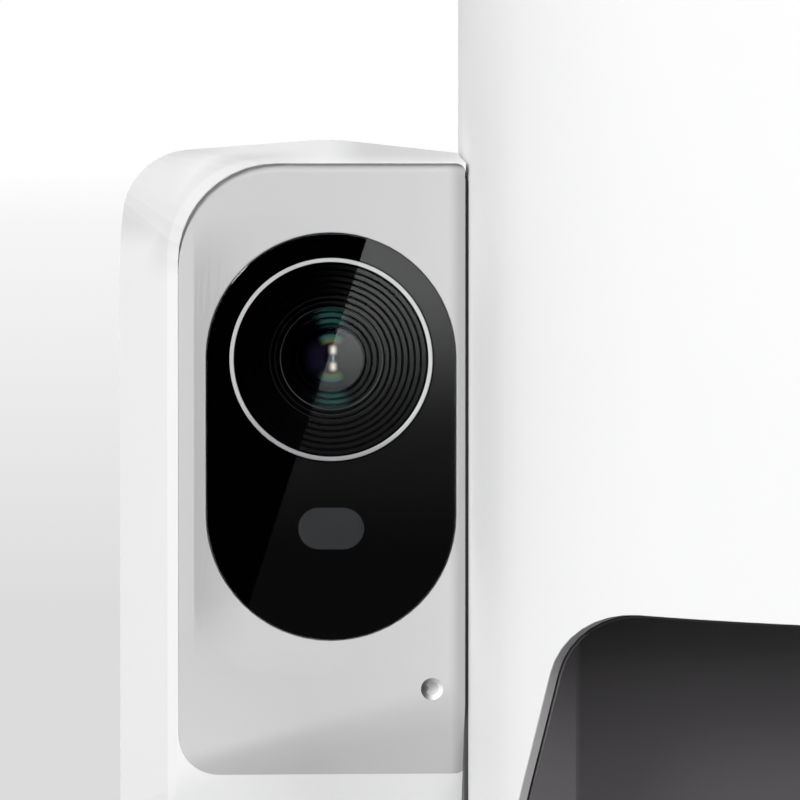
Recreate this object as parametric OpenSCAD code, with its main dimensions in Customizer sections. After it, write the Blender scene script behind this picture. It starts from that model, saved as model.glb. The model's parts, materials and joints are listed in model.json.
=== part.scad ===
// Automatic pet feeder with a camera pod on its left side.
// Z is up and the front faces -Y. Lengths are in millimetres.
// The modules are drawn round the body's own axis, and placed() then moves the whole
// model so that the middle of its footprint is the origin.

/* [Body] */
// Outer radius of the round housing
body_r = 90; // [88:0.5:93]
// Height of the housing's rim above the floor
rim_z = 290; // [286:1:304]
// Wall of the housing and of the base
wall = 2.6; // [2.2:0.1:3]
// Height of the base, where the housing starts
deck_z = 24; // [22:1:27]
// How far the rubber feet lift the base
foot_h = 3; // [2:0.5:4]
// Radius of a rubber foot
foot_r = 9; // [7:0.5:10]

/* [Feeding bay] */
// Height of the bay's top edge above the floor
bay_top = 152.8; // [150:0.2:154]
// How far the opening's upright sides stay inside the body's radius
bay_lip = 5; // [4:0.2:7]
// How much closer together the leaning sides are where they meet the top edge
bay_taper = 7.2; // [6:0.2:9]
// Lean of the opening's sides from upright, in degrees
bay_lean = 12.9; // [11:0.1:14]
// Radius of the opening's top corners
bay_corner_r = 10; // [8:0.5:12]
// Radius that turns the leaning sides upright
bay_bend_r = 90; // [70:5:100]
// Chamfer round the opening
bay_chamfer = 0.9; // [0.6:0.1:1.2]
// Distance of the back wall in front of the body's axis
bay_back = 14; // [12:0.5:15]
// How far the ends of the back wall stay inside the body's radius
bay_back_inset = 14.1; // [13:0.1:16]
// Splay of the bay's side walls, in degrees
bay_splay = 27; // [25:0.5:29]
// Wall of the bay liner
liner_wall = 2; // [1.8:0.1:2.4]

/* [Camera pod] */
// Distance of the pod's face in front of the body's axis
pod_face = 15; // [13:0.5:16]
// Width of the front plate
plate_w = 34.45; // [33.6:0.05:35.4]
// Height of the front plate's face at its top, above the floor
plate_top = 203.2; // [201:0.2:205]
// Height of the recessed band above the plate's face
plate_band = 0.95; // [0.7:0.05:1.2]
// Height of the front plate's lower edge above the floor
plate_bottom = 130.8; // [127:0.2:133]
// Thickness of the front plate
plate_t = 2.5; // [2.3:0.1:3]
// Large top left corner of the front plate
plate_corner_r = 11.8; // [10:0.1:12.4]
// Small lower left corner of the front plate
plate_lower_r = 4.8; // [4:0.2:6]
// How much wider the pod's shell is than its plate at the flare
pod_flare = 7.75; // [7:0.05:9]
// Distance from the pod's face to its widest section
pod_flare_depth = 18; // [16:0.5:22]
// Whole depth of the pod
pod_depth = 50; // [47:1:54]
// Height of the ridge on the pod's top above the plate
pod_ridge = 4; // [3.5:0.1:5]
// How far the pod's shell reaches below the plate
pod_chin = 13; // [11:0.5:14]
// Wall of the pod's shell
pod_wall = 2; // [1.8:0.1:2.4]
// Thickness of the foam strip between the pod and the housing
gasket_t = 0.45; // [0.35:0.05:0.55]

/* [Window and lens] */
// Width of the pill shaped window
window_w = 30; // [28.6:0.1:30.6]
// Height of the pill shaped window
window_h = 49; // [46:0.5:51]
// Distance from the plate's right edge to the window
window_margin = 1.15; // [1:0.05:1.6]
// Distance from the plate's top edge to the window
window_drop = 7.3; // [6.5:0.1:8]
// Thickness of the clear window
window_t = 1; // [0.8:0.1:1.1]
// Outer radius of the bright lens ring
ring_r = 12.2; // [11.6:0.1:12.6]
// Width of the bright lens ring
ring_w = 0.5; // [0.4:0.05:0.7]
// Number of steps in the lens baffle
baffle_steps = 10; // [8:1:12]
// Depth of the stepped lens baffle
baffle_depth = 6.5; // [6:0.1:7]
// Radius of the front lens element
lens_r = 4; // [3.6:0.1:4.4]
// Width of the motion sensor's window
sensor_w = 7.9; // [7:0.1:8.4]
// Height of the motion sensor's window
sensor_h = 5; // [4.4:0.1:5.4]
// Distance from the lens axis down to the motion sensor
sensor_drop = 20.3; // [19:0.1:21]
// Radius of the microphone's dimple
mic_r = 1.35; // [1.2:0.05:1.6]

/* [Food path] */
// Room between the hopper's wall and the housing, for the latch
hopper_gap = 11.4; // [10.4:0.2:14]
// Wall of the hopper and the dosing chamber
hopper_wall = 2; // [1.8:0.1:2.2]
// Radius of the food rotor
rotor_r = 52; // [50:0.5:53]
// Height of the rotor's blades
rotor_h = 22; // [20:1:23]
// Number of blades on the rotor
rotor_blades = 6; // [5:1:7]
// Height of the dosing chamber's floor above the floor
chamber_z = 190; // [189:0.5:192]
// Height of the hopper's straight wall above the floor
hopper_z = 246; // [243:1:249]
// Width of the food chute inside
chute_w = 38; // [34:1:40]

/* [Gear train] */
// Gear module
gear_m = 1; // [0.98:0.01:1.02]
// Radius of the rotor shaft
shaft_r = 3; // [2.8:0.1:3.2]

/* [Bowl and tray] */
// Outer radius of the bowl below its rim
bowl_r = 66; // [64:0.5:67]
// Height of the bowl
bowl_h = 38; // [34:1:42]
// Height of the tray's top above the floor
tray_top = 50; // [48:1:54]
// Room between the bowl and the tray's well
bowl_gap = 1; // [0.6:0.1:1.5]
// Width of the tray's rim round the bowl
tray_rim = 9; // [8:0.5:11]
// Room between the tray and the bay's back wall
tray_back_gap = 5; // [4:0.5:7]

/* [Lid] */
// Height of the lid above the rim
lid_h = 22; // [20:1:25]
// Radius of the lid's rounded edge
lid_edge_r = 9; // [7:0.5:10]
// Distance of the hinge axis behind the housing
hinge_out = 3.5; // [3.5:0.1:4.5]
// Radius of the hinge knuckles
knuckle_r = 4; // [3.8:0.1:4.4]

/* [Fits] */
// Gap between pieces that slide past each other
slide_gap = 0.3; // [0.25:0.05:0.4]
// Radial gap between a shaft and its bore
run_gap = 0.05; // [0.03:0.01:0.08]

/* [Hidden] */
$fn = 96;
eps = 0.01;
far = 400;

// Teeth of the gear train, fixed because they set how the gears turn together
output_teeth = 42;
idler_small_teeth = 14;
idler_large_teeth = 40;
pinion_teeth = 12;

// Colours used by several pieces
shell_white = "#f2f2f3";
plate_grey = "#d3d4d6";
liner_grey = "#454347";

// Places worked out from the sizes
housing_in = body_r - wall;
bay_half_w = body_r - bay_lip;
bay_shoulder = bay_half_w - bay_taper;
bay_depth = bay_chamfer * 4 / 3;
bay_back_half_w = body_r - bay_back_inset;
hopper_r = housing_in - hopper_gap - hopper_wall;
tray_r = bowl_r + bowl_gap + tray_rim;
bowl_y = bay_back + tray_back_gap + tray_r;
plate_right = -sqrt(pow(body_r + gasket_t, 2) - pod_face * pod_face);
plate_left = plate_right - plate_w;
pod_left = plate_left - pod_flare;
pod_bottom = plate_bottom - pod_chin;
lens_x = plate_right - window_margin - window_w / 2;
lens_z = plate_top - window_drop - window_w / 2 - 0.25;
window_z = plate_top - window_drop - window_h / 2;
sensor_z = lens_z - sensor_drop;
mic_x = plate_right - 4.03;
mic_z = plate_bottom + 10.3;
glass_y = -pod_face + 0.1;
mask_y = glass_y + window_t;
mask_t = 0.8;
baffle_y = mask_y + mask_t;
barrel_y = baffle_y + baffle_depth;
boss_r = 4.2;
boss_ring_r = housing_in - boss_r + 0.4;
boss_angles = [25, 85, -25, -85];
liner_posts = [for (a = [-136, 136]) ring_spot(body_r - 18, a)];
foot_spots = [for (a = [48, -48, 118, -118]) ring_spot(body_r - foot_r - 7, a)];
tray_spots = [for (a = [-146, 146]) ring_spot(tray_r - 8.3, a) - [0, bowl_y]];
liner_floor = deck_z + liner_wall;
ledge_z = rim_z - 10;
flange_t = 3;
seal_h = 3;
latch_half_w = 14;
latch_half_hook = 8;
latch_foot_z = ledge_z + 0.4 - 1;
catch_z = ledge_z + 2;
hinge_y = body_r + hinge_out;
hinge_z = rim_z + 3;
lid_bottom = rim_z + 0.4;
lid_top = rim_z + lid_h;
rotor_z = chamber_z + 3 + slide_gap;
rotor_gap = 0.6;
chamber_r = rotor_r + rotor_gap;
chamber_top = rotor_z + rotor_h + 5;
chute_back = 27;
chute_front = 50;
chute_lean = 7;
chute_wall = 1.8;
case_z = chamber_z - 30;
cover_z = case_z + 24;
case_wall = 2;
gear_gap = 0.2;
idler_y = (output_teeth + idler_small_teeth) / 2 * gear_m + gear_gap;
motor_y = idler_y + (idler_large_teeth + pinion_teeth) / 2 * gear_m + gear_gap;
case_r = (output_teeth / 2 + 1) * gear_m + case_wall + 0.8;
motor_r = 12;
motor_len = 32;
cell_r = 16.5;
cell_h = 61;
cell_gap = 0.6;
cell_y = housing_in - 13.9 - cell_r;
cell_pitch = 2 * cell_r + 1.4;
battery_z = deck_z + 18;
battery_top = battery_z + cell_h + 5;
battery_half_w = cell_pitch + cell_r + 2.4;
cover_half_w = battery_half_w - 3;
inlet_angle = 45;
inlet_z = deck_z + 12;
speaker_angle = -45;
speaker_z = 140;
speaker_r = 18;
button_z = 184;
button_r = 7.5;
board_w = 90;
board_h = 70;
board_z = (deck_z + bay_top) / 2 + 6.6;
board_y = -bay_back + 6;
board_t = 1.6;
board_holes = [for (x = [-1, 1], z = [-1, 1])
  [x * (board_w / 2 - 7), board_z + z * (board_h / 2 - 6)]];
dryer_r = 26.9;
bowl_rim_z = liner_floor + 3 + bowl_h;
box_left = pod_left;
box_right = body_r;
box_front = -bowl_y - tray_r;
box_back = hinge_y + knuckle_r;

// Moves the model so that the middle of its footprint is the origin
module placed()
{
  translate([-(box_left + box_right) / 2, -(box_front + box_back) / 2, 0]) children();
}

// A place on a ring round the body's axis, at an angle measured from the back
function ring_spot(r, angle) = [-r * sin(angle), r * cos(angle)];

// Points of an arc
function arc(c, r, a0, a1, n = 10) =
  [for (i = [0 : n]) c + r * [cos(a0 + (a1 - a0) * i / n), sin(a0 + (a1 - a0) * i / n)]];

// One rounded corner of an outline, from the corner before it to the corner after it
function corner(a, p, b, r, n = 8) =
  r <= 0 ? [p] :
  let (u = (a - p) / norm(a - p),
       v = (b - p) / norm(b - p),
       half = acos(u * v) / 2,
       c = p + (u + v) / norm(u + v) * r / sin(half),
       s = p + u * r / tan(half) - c,
       e = p + v * r / tan(half) - c,
       a0 = atan2(s[1], s[0]),
       turn = atan2(s[0] * e[1] - s[1] * e[0], s * e))
  [for (i = [0 : n]) c + r * [cos(a0 + turn * i / n), sin(a0 + turn * i / n)]];

// A closed outline through the given corners, each rounded by its own radius
function rounded(pts, radii, n = 8) =
  [for (i = [0 : len(pts) - 1])
    each corner(pts[(i + len(pts) - 1) % len(pts)], pts[i], pts[(i + 1) % len(pts)],
      radii[i], n)];

// A rounded rectangle about a centre
function soft_rect(c, w, h, r, n = 6) =
  rounded([c + [-w, -h] / 2, c + [w, -h] / 2, c + [w, h] / 2, c + [-w, h] / 2],
    [r, r, r, r], n);

// Draws an outline of the XZ plane from y0 back to y1
module from_front(y0, y1)
{
  translate([0, y1, 0]) rotate([90, 0, 0]) linear_extrude(y1 - y0) children();
}

// Draws an outline of the YZ plane from x0 across to x1
module across(x0, x1)
{
  translate([x0, 0, 0]) rotate([90, 0, 90]) linear_extrude(x1 - x0) children();
}

// A round tube round the Z axis
module tube(r_out, r_in, z0, z1)
{
  translate([0, 0, z0]) difference() {
    cylinder(r = r_out, h = z1 - z0);
    translate([0, 0, -1]) cylinder(r = r_in, h = z1 - z0 + 2);
  }
}

// A cylinder along the Y axis from y0 back to y1
module rod_y(x, z, r, y0, y1)
{
  translate([x, y1, z]) rotate([90, 0, 0]) cylinder(r = r, h = y1 - y0);
}

// Turns children to a place on the round wall, measured from the back
module at_back(angle)
{
  rotate([0, 0, angle]) children();
}

// Corners of the feeding bay's outline on its right, from the bend up to the top edge.
// They are moved inwards by side and down by drop.
function bay_side(side, drop) =
  let (slant = tan(bay_lean),
       w = bay_half_w - side,
       shoulder = bay_shoulder - side + drop * slant)
  [[w, bay_top - bay_taper / slant], [shoulder, bay_top - drop]];

// The leaning sides carry two more points, so that they can follow the round wall
function bay_outline(side, drop, bottom, n = 8) =
  let (s = bay_side(side, drop),
       lean = [for (t = [0.46, 0.61]) s[0] + t * (s[1] - s[0])],
       tip = bay_corner_r - drop,
       right = [[s[0][0], bottom], s[0], lean[0], lean[1], s[1]],
       left = [for (i = [4 : -1 : 0]) [-right[i][0], right[i][1]]])
  rounded(concat(right, left),
    [0, bay_bend_r, 0, 0, tip, tip, 0, 0, bay_bend_r, 0], n);

// Plan of the bay, splayed from the back wall to the front, grown by extra
module bay_plan(extra)
{
  half = bay_back_half_w + extra;
  reach = body_r + 2;
  spread = (reach - bay_back) * tan(bay_splay);
  polygon([[-half, -bay_back + extra], [half, -bay_back + extra],
    [half + spread, -reach], [-half - spread, -reach]]);
}

// Cutter for the bay: its opening widens sideways to a chamfer that follows the round
// wall, and narrows to nothing where the outline turns into the level top edge
module bay_cutter()
{
  over = 0.6;
  bottom = deck_z - 1;
  outer = bay_outline(-over, 0, bottom - over);
  inner = bay_outline(bay_chamfer, 0, bottom);
  n = len(outer);
  r_out = body_r + over;
  r_in = body_r - bay_depth;
  points = [
    each [for (p = outer) [p[0], -body_r - 5, p[1]]],
    each [for (p = outer) [p[0], -sqrt(r_out * r_out - p[0] * p[0]), p[1]]],
    each [for (p = inner) [p[0], -sqrt(r_in * r_in - p[0] * p[0]), p[1]]],
    each [for (p = inner) [p[0], -bay_back, p[1]]]
  ];
  sides = [for (k = [0 : 2], i = [0 : n - 1])
    [k * n + i, k * n + (i + 1) % n, (k + 1) * n + (i + 1) % n, (k + 1) * n + i]];
  polyhedron(points, [[for (i = [n - 1 : -1 : 0]) i], each sides,
    [for (i = [0 : n - 1]) 3 * n + i]], convexity = 6);
}

// Outline of the speaker's round grille, as rings of holes
module grille_holes()
{
  for (ring = [0 : 3], i = [0 : max(0, ring * 6 - 1)])
    rotate([0, 0, i * 60 / max(1, ring)]) translate([ring * 4, 0, 0])
      cylinder(r = 1, h = 20, $fn = 24);
}

module housing_wall()
{
  rotate_extrude($fn = 180) polygon([[housing_in, deck_z], [body_r - 0.4, deck_z],
    [body_r, deck_z + 0.4], [body_r, rim_z - 0.6], [body_r - 0.6, rim_z],
    [housing_in, rim_z]]);
}

// Shelf inside the rim that carries the hopper, cut away for the latch
module rim_shelf()
{
  difference() {
    rotate_extrude($fn = 120) polygon([[housing_in + 0.4, ledge_z - 8],
      [hopper_r + hopper_wall + 0.6, ledge_z - 1.5], [hopper_r + hopper_wall + 0.6, ledge_z],
      [housing_in + 0.4, ledge_z]]);
    latch_way();
  }
}

module latch_way()
{
  translate([-latch_half_w - 2, -body_r + wall - eps, ledge_z - 20])
    cube([2 * latch_half_w + 4, housing_in - hopper_r - hopper_wall - 0.4, 40]);
}

// Ridge inside the rim that the latch hooks under
module latch_catch()
{
  intersection() {
    tube(housing_in + 0.4, housing_in - 0.5, catch_z, catch_z + 1.5);
    translate([-latch_half_hook, -body_r, 0]) cube([2 * latch_half_hook, 20, far]);
  }
}

module hinge_lug(x0, x1)
{
  translate([x0, 0, 0]) rotate([90, 0, 90]) linear_extrude(x1 - x0) union() {
    translate([hinge_y, hinge_z]) circle(r = knuckle_r, $fn = 48);
    polygon([[body_r - wall, hinge_z - 18], [body_r - wall, rim_z - 1],
      [hinge_y - knuckle_r + 0.2, rim_z - 1], [hinge_y - knuckle_r + 0.2, hinge_z],
      [hinge_y + knuckle_r * 0.8, hinge_z - knuckle_r * 0.6]]);
  }
}

// Blocks that join the housing's screw bosses to its wall
module housing_bosses()
{
  for (a = boss_angles) at_back(a) translate([0, boss_ring_r, deck_z + 0.3])
    cylinder(r = boss_r, h = 16);
}

module speaker_pocket(r, y0, y1)
{
  at_back(speaker_angle) rod_y(0, speaker_z, r, y0, y1);
}

module pod_wire_way()
{
  translate([-body_r - 2, 14, 160]) rotate([0, 90, 0]) cylinder(r = 7, h = 8);
}

// The three places where screws hold the pod to the housing, as [y, z]
function pod_screw_spots() = [[16, pod_bottom + 12], [16, plate_top - 12], [28, 150]];

module housing()
{
  color(shell_white) placed() difference() {
    union() {
      housing_wall();
      rim_shelf();
      intersection() {
        union() {
          housing_bosses();
          difference() {
            speaker_pocket(speaker_r + 1.8, body_r - 12, body_r);
            speaker_pocket(speaker_r + 0.1, body_r - 13, housing_in - 2);
          }
        }
        cylinder(r = body_r - 0.5, h = far);
      }
      latch_catch();
      hinge_lug(14, 21);
      hinge_lug(-21, -14);
    }
    bay_cutter();
    translate([0, hinge_y, hinge_z]) rotate([0, 90, 0]) translate([0, 0, -30])
      cylinder(r = 1.5, h = 60);
    for (a = boss_angles) at_back(a) translate([0, boss_ring_r, 0])
      cylinder(r = 1.4, h = deck_z + 12);
    from_front(0, body_r + 5) polygon(soft_rect([0, (battery_z + battery_top) / 2],
      2 * cover_half_w, battery_top - battery_z, 5));
    at_back(inlet_angle) rod_y(0, inlet_z, 5.1, body_r - 12, body_r + 2);
    at_back(speaker_angle) translate([0, body_r - 8, speaker_z]) rotate([-90, 0, 0])
      grille_holes();
    rod_y(0, button_z, 9.4, -body_r - 2, -body_r + 12);
    pod_wire_way();
    for (p = pod_screw_spots()) translate([-body_r - 2, p[0], p[1]]) rotate([0, 90, 0])
      cylinder(r = 1.7, h = 16);
  }
}

// The liner's walls stand behind the housing, and only a thin lip reaches into the opening
module bay_liner()
{
  seam = 0.15;
  lip = 0.25;
  side = bay_chamfer + seam + lip;
  drop = seam + lip;
  color(liner_grey) placed() difference() {
    union() {
      intersection() {
        union() {
          intersection() {
            from_front(-body_r, -bay_back)
              polygon(bay_outline(side - lip, drop - lip, deck_z));
            cylinder(r = body_r - bay_depth - 0.3, h = far, $fn = 180);
          }
          intersection() {
            from_front(-body_r, -bay_back + liner_wall)
              polygon(bay_outline(side - liner_wall, drop - liner_wall, deck_z));
            cylinder(r = housing_in - 0.1, h = far, $fn = 180);
          }
        }
        linear_extrude(far) bay_plan(liner_wall);
      }
      for (p = liner_posts) translate([p[0], p[1], deck_z - 9]) cylinder(r = 4, h = 10);
      for (p = board_holes) rod_y(p[0], p[1], 3.5, -bay_back, board_y);
    }
    intersection() {
      from_front(-body_r - 1, -bay_back + eps) difference() {
        polygon(bay_outline(side, drop, deck_z));
        translate([-far / 2, 0]) square([far, liner_floor]);
      }
      linear_extrude(far) bay_plan(0);
    }
    translate([-chute_w / 2 - 0.4, -chute_front - chute_lean - 0.4, bay_top - 12])
      cube([chute_w + 0.8, chute_front - chute_back + 1.4, 20]);
    for (p = liner_posts) translate([p[0], p[1], deck_z - 10]) cylinder(r = 1.4, h = 9);
    for (p = board_holes) rod_y(p[0], p[1], 1.1, -bay_back + 1, board_y + 2);
  }
}

module base_pan()
{
  color(shell_white) placed() difference() {
    union() {
      rotate_extrude($fn = 180) polygon([[0, foot_h], [body_r - 3, foot_h],
        [body_r, foot_h + 3], [body_r, deck_z - 0.4], [body_r - 0.4, deck_z],
        [housing_in, deck_z], [housing_in, foot_h + 3], [0, foot_h + 3]]);
      for (a = boss_angles) at_back(a) translate([0, boss_ring_r, foot_h + 1])
        cylinder(r = boss_r, h = deck_z - foot_h - 1);
      for (p = liner_posts) translate([p[0], p[1], foot_h + 1])
        cylinder(r = 4, h = deck_z - foot_h - 10);
      for (x = [-30, 0, 30]) translate([x - 0.8, 20 - body_r, foot_h + 2])
        cube([1.6, 2 * body_r - 40, 6]);
      for (y = [-24, 24]) translate([14 - body_r, y - 0.8, foot_h + 2])
        cube([2 * body_r - 28, 1.6, 6]);
    }
    for (a = boss_angles) at_back(a) translate([0, boss_ring_r, 0]) screw_way();
    for (p = liner_posts) translate([p[0], p[1], 0]) screw_way();
    for (p = foot_spots) translate([p[0], p[1], foot_h - 1])
      cylinder(r = foot_r + 0.1, h = 2.2);
  }
}

module screw_way()
{
  translate([0, 0, foot_h - 1]) cylinder(r = 3.1, h = 4);
  translate([0, 0, foot_h]) cylinder(r = 1.6, h = deck_z);
}

module base_feet()
{
  color("#3a3a3c") placed() for (p = foot_spots) translate([p[0], p[1], 0])
    rotate_extrude($fn = 64) polygon([[0, 0.6], [foot_r - 3, 0.6], [foot_r - 2.4, 0],
      [foot_r - 0.8, 0], [foot_r, 0.8], [foot_r, foot_h + 1.1], [0, foot_h + 1.1]]);
}

// A pan head screw standing on its head, with its cross slot below
module screw(head_r, head_h, r, len)
{
  difference() {
    union() {
      cylinder(r = head_r, h = head_h, $fn = 32);
      cylinder(r = r, h = len, $fn = 24);
    }
    for (a = [0, 90]) rotate([0, 0, a]) translate([-head_r * 0.6, -0.3, -1])
      cube([head_r * 1.2, 0.6, 1 + head_h / 2]);
  }
}

module base_screws()
{
  color("#8e9093") placed() {
    for (a = boss_angles) at_back(a) translate([0, boss_ring_r, foot_h + 1])
      screw(2.8, 1.9, 1.35, deck_z + 6 - foot_h);
    for (p = liner_posts) translate([p[0], p[1], foot_h + 1])
      screw(2.8, 1.9, 1.35, deck_z - 8 - foot_h + 5);
  }
}

module hopper()
{
  outer = hopper_r + hopper_wall;
  neck = chamber_r + hopper_wall;
  color("#e8e9ea") placed() difference() {
    rotate_extrude($fn = 120) polygon([[chamber_r, chamber_top], [neck, chamber_top],
      [neck + 1, chamber_top + 4], [outer, hopper_z], [outer, ledge_z],
      [housing_in - slide_gap, ledge_z], [housing_in - slide_gap, ledge_z + flange_t],
      [outer, ledge_z + flange_t], [outer, ledge_z + flange_t + 2],
      [hopper_r, ledge_z + flange_t + 2], [hopper_r, hopper_z],
      [chamber_r, chamber_top + 4]]);
    latch_way();
  }
}

// A sector of a ring about the body's axis, opening towards the front
module front_sector(r0, r1, half_angle)
{
  polygon([each arc([0, 0], r1, -90 - half_angle, -90 + half_angle, 12),
    each arc([0, 0], r0, -90 + half_angle, -90 - half_angle, 8)]);
}

module dosing_chamber()
{
  color("#dcdddf") placed() difference() {
    union() {
      tube(chamber_r + hopper_wall, chamber_r, chamber_z, chamber_top);
      translate([0, 0, chamber_z - 2]) cylinder(r = chamber_r + hopper_wall, h = 5);
      for (a = [40 : 90 : 310]) rotate([0, 0, a])
        translate([chamber_r + hopper_wall - 0.5, -1, chamber_z - 2])
          cube([8, 2, chamber_top - chamber_z - 6]);
    }
    translate([0, 0, chamber_z - 3]) cylinder(r = shaft_r + run_gap, h = 8);
    translate([0, 0, chamber_z - 3]) linear_extrude(8)
      front_sector(chute_back, chute_front, 19);
  }
}

// Roofed plate over the outlet, so that only the rotor carries food to it
module outlet_guard()
{
  z = chamber_top - 2;
  reach = chamber_r - 0.2;
  color("#c9cacc") placed() union() {
    translate([0, 0, z - 1]) linear_extrude(1.8) front_sector(16, reach, 34);
    intersection() {
      translate([0, 0, z]) linear_extrude(20) front_sector(16, reach, 32);
      from_front(-reach, -16) polygon([[-30, z], [30, z], [0, z + 14]]);
    }
  }
}

module food_chute()
{
  top = chamber_z - 2;
  bottom = bay_top - 1;
  half = chute_w / 2;
  color("#d5d6d8") placed() difference() {
    across(-half, half) polygon([[-chute_front, top], [-chute_back, top],
      [-chute_back - chute_lean, bottom], [-chute_front - chute_lean, bottom]]);
    across(-half + chute_wall, half - chute_wall) polygon([
      [-chute_front + chute_wall + 0.4, top + 2], [-chute_back - chute_wall + 0.4, top + 2],
      [-chute_back - chute_lean - chute_wall - 0.4, bottom - 2],
      [-chute_front - chute_lean + chute_wall - 0.4, bottom - 2]]);
  }
}

// Plan of the gearbox
module case_plan(r)
{
  union() {
    circle(r = r);
    translate([0, motor_y]) circle(r = r * 0.72);
    polygon([[-r, 0], [r, 0], [r, idler_y], [r * 0.72, motor_y], [-r * 0.72, motor_y],
      [-r, idler_y]]);
  }
}

// The posts that hang the gearbox under the dosing chamber
case_posts = [[-case_r + 1, -4], [case_r - 1, -4], [-case_r + 1, 34], [case_r - 1, 34]];

module gearbox_case()
{
  color("#55575a") placed() difference() {
    union() {
      translate([0, 0, case_z]) linear_extrude(cover_z - case_z) case_plan(case_r);
      for (p = case_posts) translate([p[0], p[1], case_z])
        cylinder(r = 3.2, h = chamber_z - 2 - case_z);
    }
    translate([0, 0, case_z + case_wall]) linear_extrude(chamber_z - case_z)
      case_plan(case_r - case_wall);
    translate([0, 0, case_z + case_wall - 1.2]) cylinder(r = shaft_r + run_gap, h = 4);
    translate([0, motor_y, case_z - 1]) cylinder(r = 4, h = 6);
    for (p = case_posts) translate([p[0], p[1], case_z - 1]) cylinder(r = 1.2, h = 8);
  }
}

module gearbox_cover()
{
  color("#55575a") placed() difference() {
    translate([0, 0, cover_z]) linear_extrude(2) case_plan(case_r);
    for (p = case_posts) translate([p[0], p[1], cover_z - 1]) cylinder(r = 3.3, h = 4);
    translate([0, 0, cover_z - 1]) cylinder(r = shaft_r + run_gap, h = 4);
  }
}

module gear_motor()
{
  color("#b9bbbe") placed() translate([0, motor_y, case_z]) difference() {
    union() {
      rotate([180, 0, 0]) cylinder(r = motor_r, h = motor_len);
      cylinder(r = 3.7, h = case_wall);
      for (s = [-1, 1]) translate([s * 6 - 1, -0.4, -motor_len - 4]) cube([2, 0.8, 5]);
    }
    translate([0, 0, -14]) cylinder(r = 1 + run_gap, h = 20, $fn = 32);
    for (s = [-1, 1]) translate([s * (motor_r + 4), 0, -motor_len - 1])
      cylinder(r = 5, h = motor_len - 5);
  }
}

// Points of one gear's outline: involute flanks between a root and a tip circle
function involute(rb, t) = rb * [cos(t) + t * PI / 180 * sin(t), sin(t) - t * PI / 180 * cos(t)];

function gear_points(teeth, m) =
  let (rp = teeth * m / 2,
       rb = rp * cos(20),
       rt = rp + 0.92 * m,
       rr = rp - 1.2 * m,
       t_tip = sqrt(rt * rt / rb / rb - 1) * 180 / PI,
       inv = (tan(20) * 180 / PI) - 20,
       half = 90 / teeth - 0.08 / rp * 180 / PI + inv,
       start = max(rr, rb))
  [for (k = [0 : teeth - 1], j = [0 : 7])
    let (side = j < 4 ? -1 : 1,
         i = j < 4 ? j : 7 - j,
         t = i < 1 ? 0 : t_tip * (i - 1) / 2,
         p = i < 1 ? [min(rr, rb * 0.995), 0] : involute(rb, t),
         a = k * 360 / teeth + side * (half - atan2(p[1], p[0])),
         d = norm(p))
    [d * cos(a), d * sin(a)]];

// A spur gear with one tooth centred on the given direction
module gear(teeth, h, phase)
{
  rotate([0, 0, phase]) linear_extrude(h) polygon(gear_points(teeth, gear_m));
}

module idler_pin()
{
  color("#c6c8ca") placed() translate([0, idler_y, case_z + case_wall])
    cylinder(r = 1.5, h = cover_z - case_z - case_wall, $fn = 32);
}

module main_board()
{
  color("#1f5c3a") placed() difference() {
    from_front(board_y, board_y + board_t) polygon(soft_rect([0, board_z], board_w, board_h, 2));
    for (p = board_holes) rod_y(p[0], p[1], 1.4, -bay_back, board_y + 6);
  }
}

// Chips, plugs and a metal can on the back of the main board, as [x, z, w, h, t]
board_spots = [[-18, 9, 18, 25.5, 3.1], [14, 9, 12, 12, 1], [14, -11, 7, 7, 0.9],
  [32, 9, 6, 16, 6], [-32, -19, 16, 6, 6], [0, -23, 10, 5, 1.6], [32, -19, 8, 8, 8]];

module board_parts()
{
  y = board_y + board_t;
  color("#2a2a2c") placed() for (b = board_spots)
    from_front(y, y + b[4]) polygon(soft_rect([b[0], board_z + b[1]], b[2], b[3], 0.6, 3));
}

module battery_box()
{
  color("#3f4043") placed() difference() {
    union() {
      translate([-battery_half_w, cell_y - cell_r - 4.5, battery_z])
        cube([2 * battery_half_w, cell_r + 12.5, battery_top - battery_z]);
      intersection() {
        translate([-body_r, cell_y, battery_z])
          cube([2 * body_r, 4, battery_top - battery_z]);
        cylinder(r = housing_in - eps, h = far, $fn = 180);
      }
    }
    for (i = [-1 : 1]) {
      translate([i * cell_pitch, cell_y, battery_z + 2])
        cylinder(r = cell_r + cell_gap, h = battery_top - battery_z - 4);
      translate([i * cell_pitch - cell_r + 1.5, cell_y, battery_z + 2])
        cube([2 * cell_r - 3, 30, battery_top - battery_z - 4]);
    }
  }
}

module battery_contacts()
{
  color("#c8b27a") placed() for (i = [-1 : 1]) translate([i * cell_pitch, cell_y, 0]) {
    translate([-5, -5, battery_z + 2]) cube([10, 10, 0.5]);
    translate([-5, -5, battery_top - 2.5]) cube([10, 10, 0.5]);
  }
}

module battery_cells()
{
  lift = battery_z + 2.5;
  color("#c9a24a") placed() for (i = [-1 : 1]) translate([i * cell_pitch, cell_y, lift]) {
    rotate_extrude($fn = 64) polygon([[0, 0], [cell_r - 0.6, 0], [cell_r, 0.6],
      [cell_r, cell_h - 2], [cell_r - 0.6, cell_h - 1.5], [4.6, cell_h - 1.5], [4.6, cell_h],
      [0, cell_h]]);
  }
}

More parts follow.
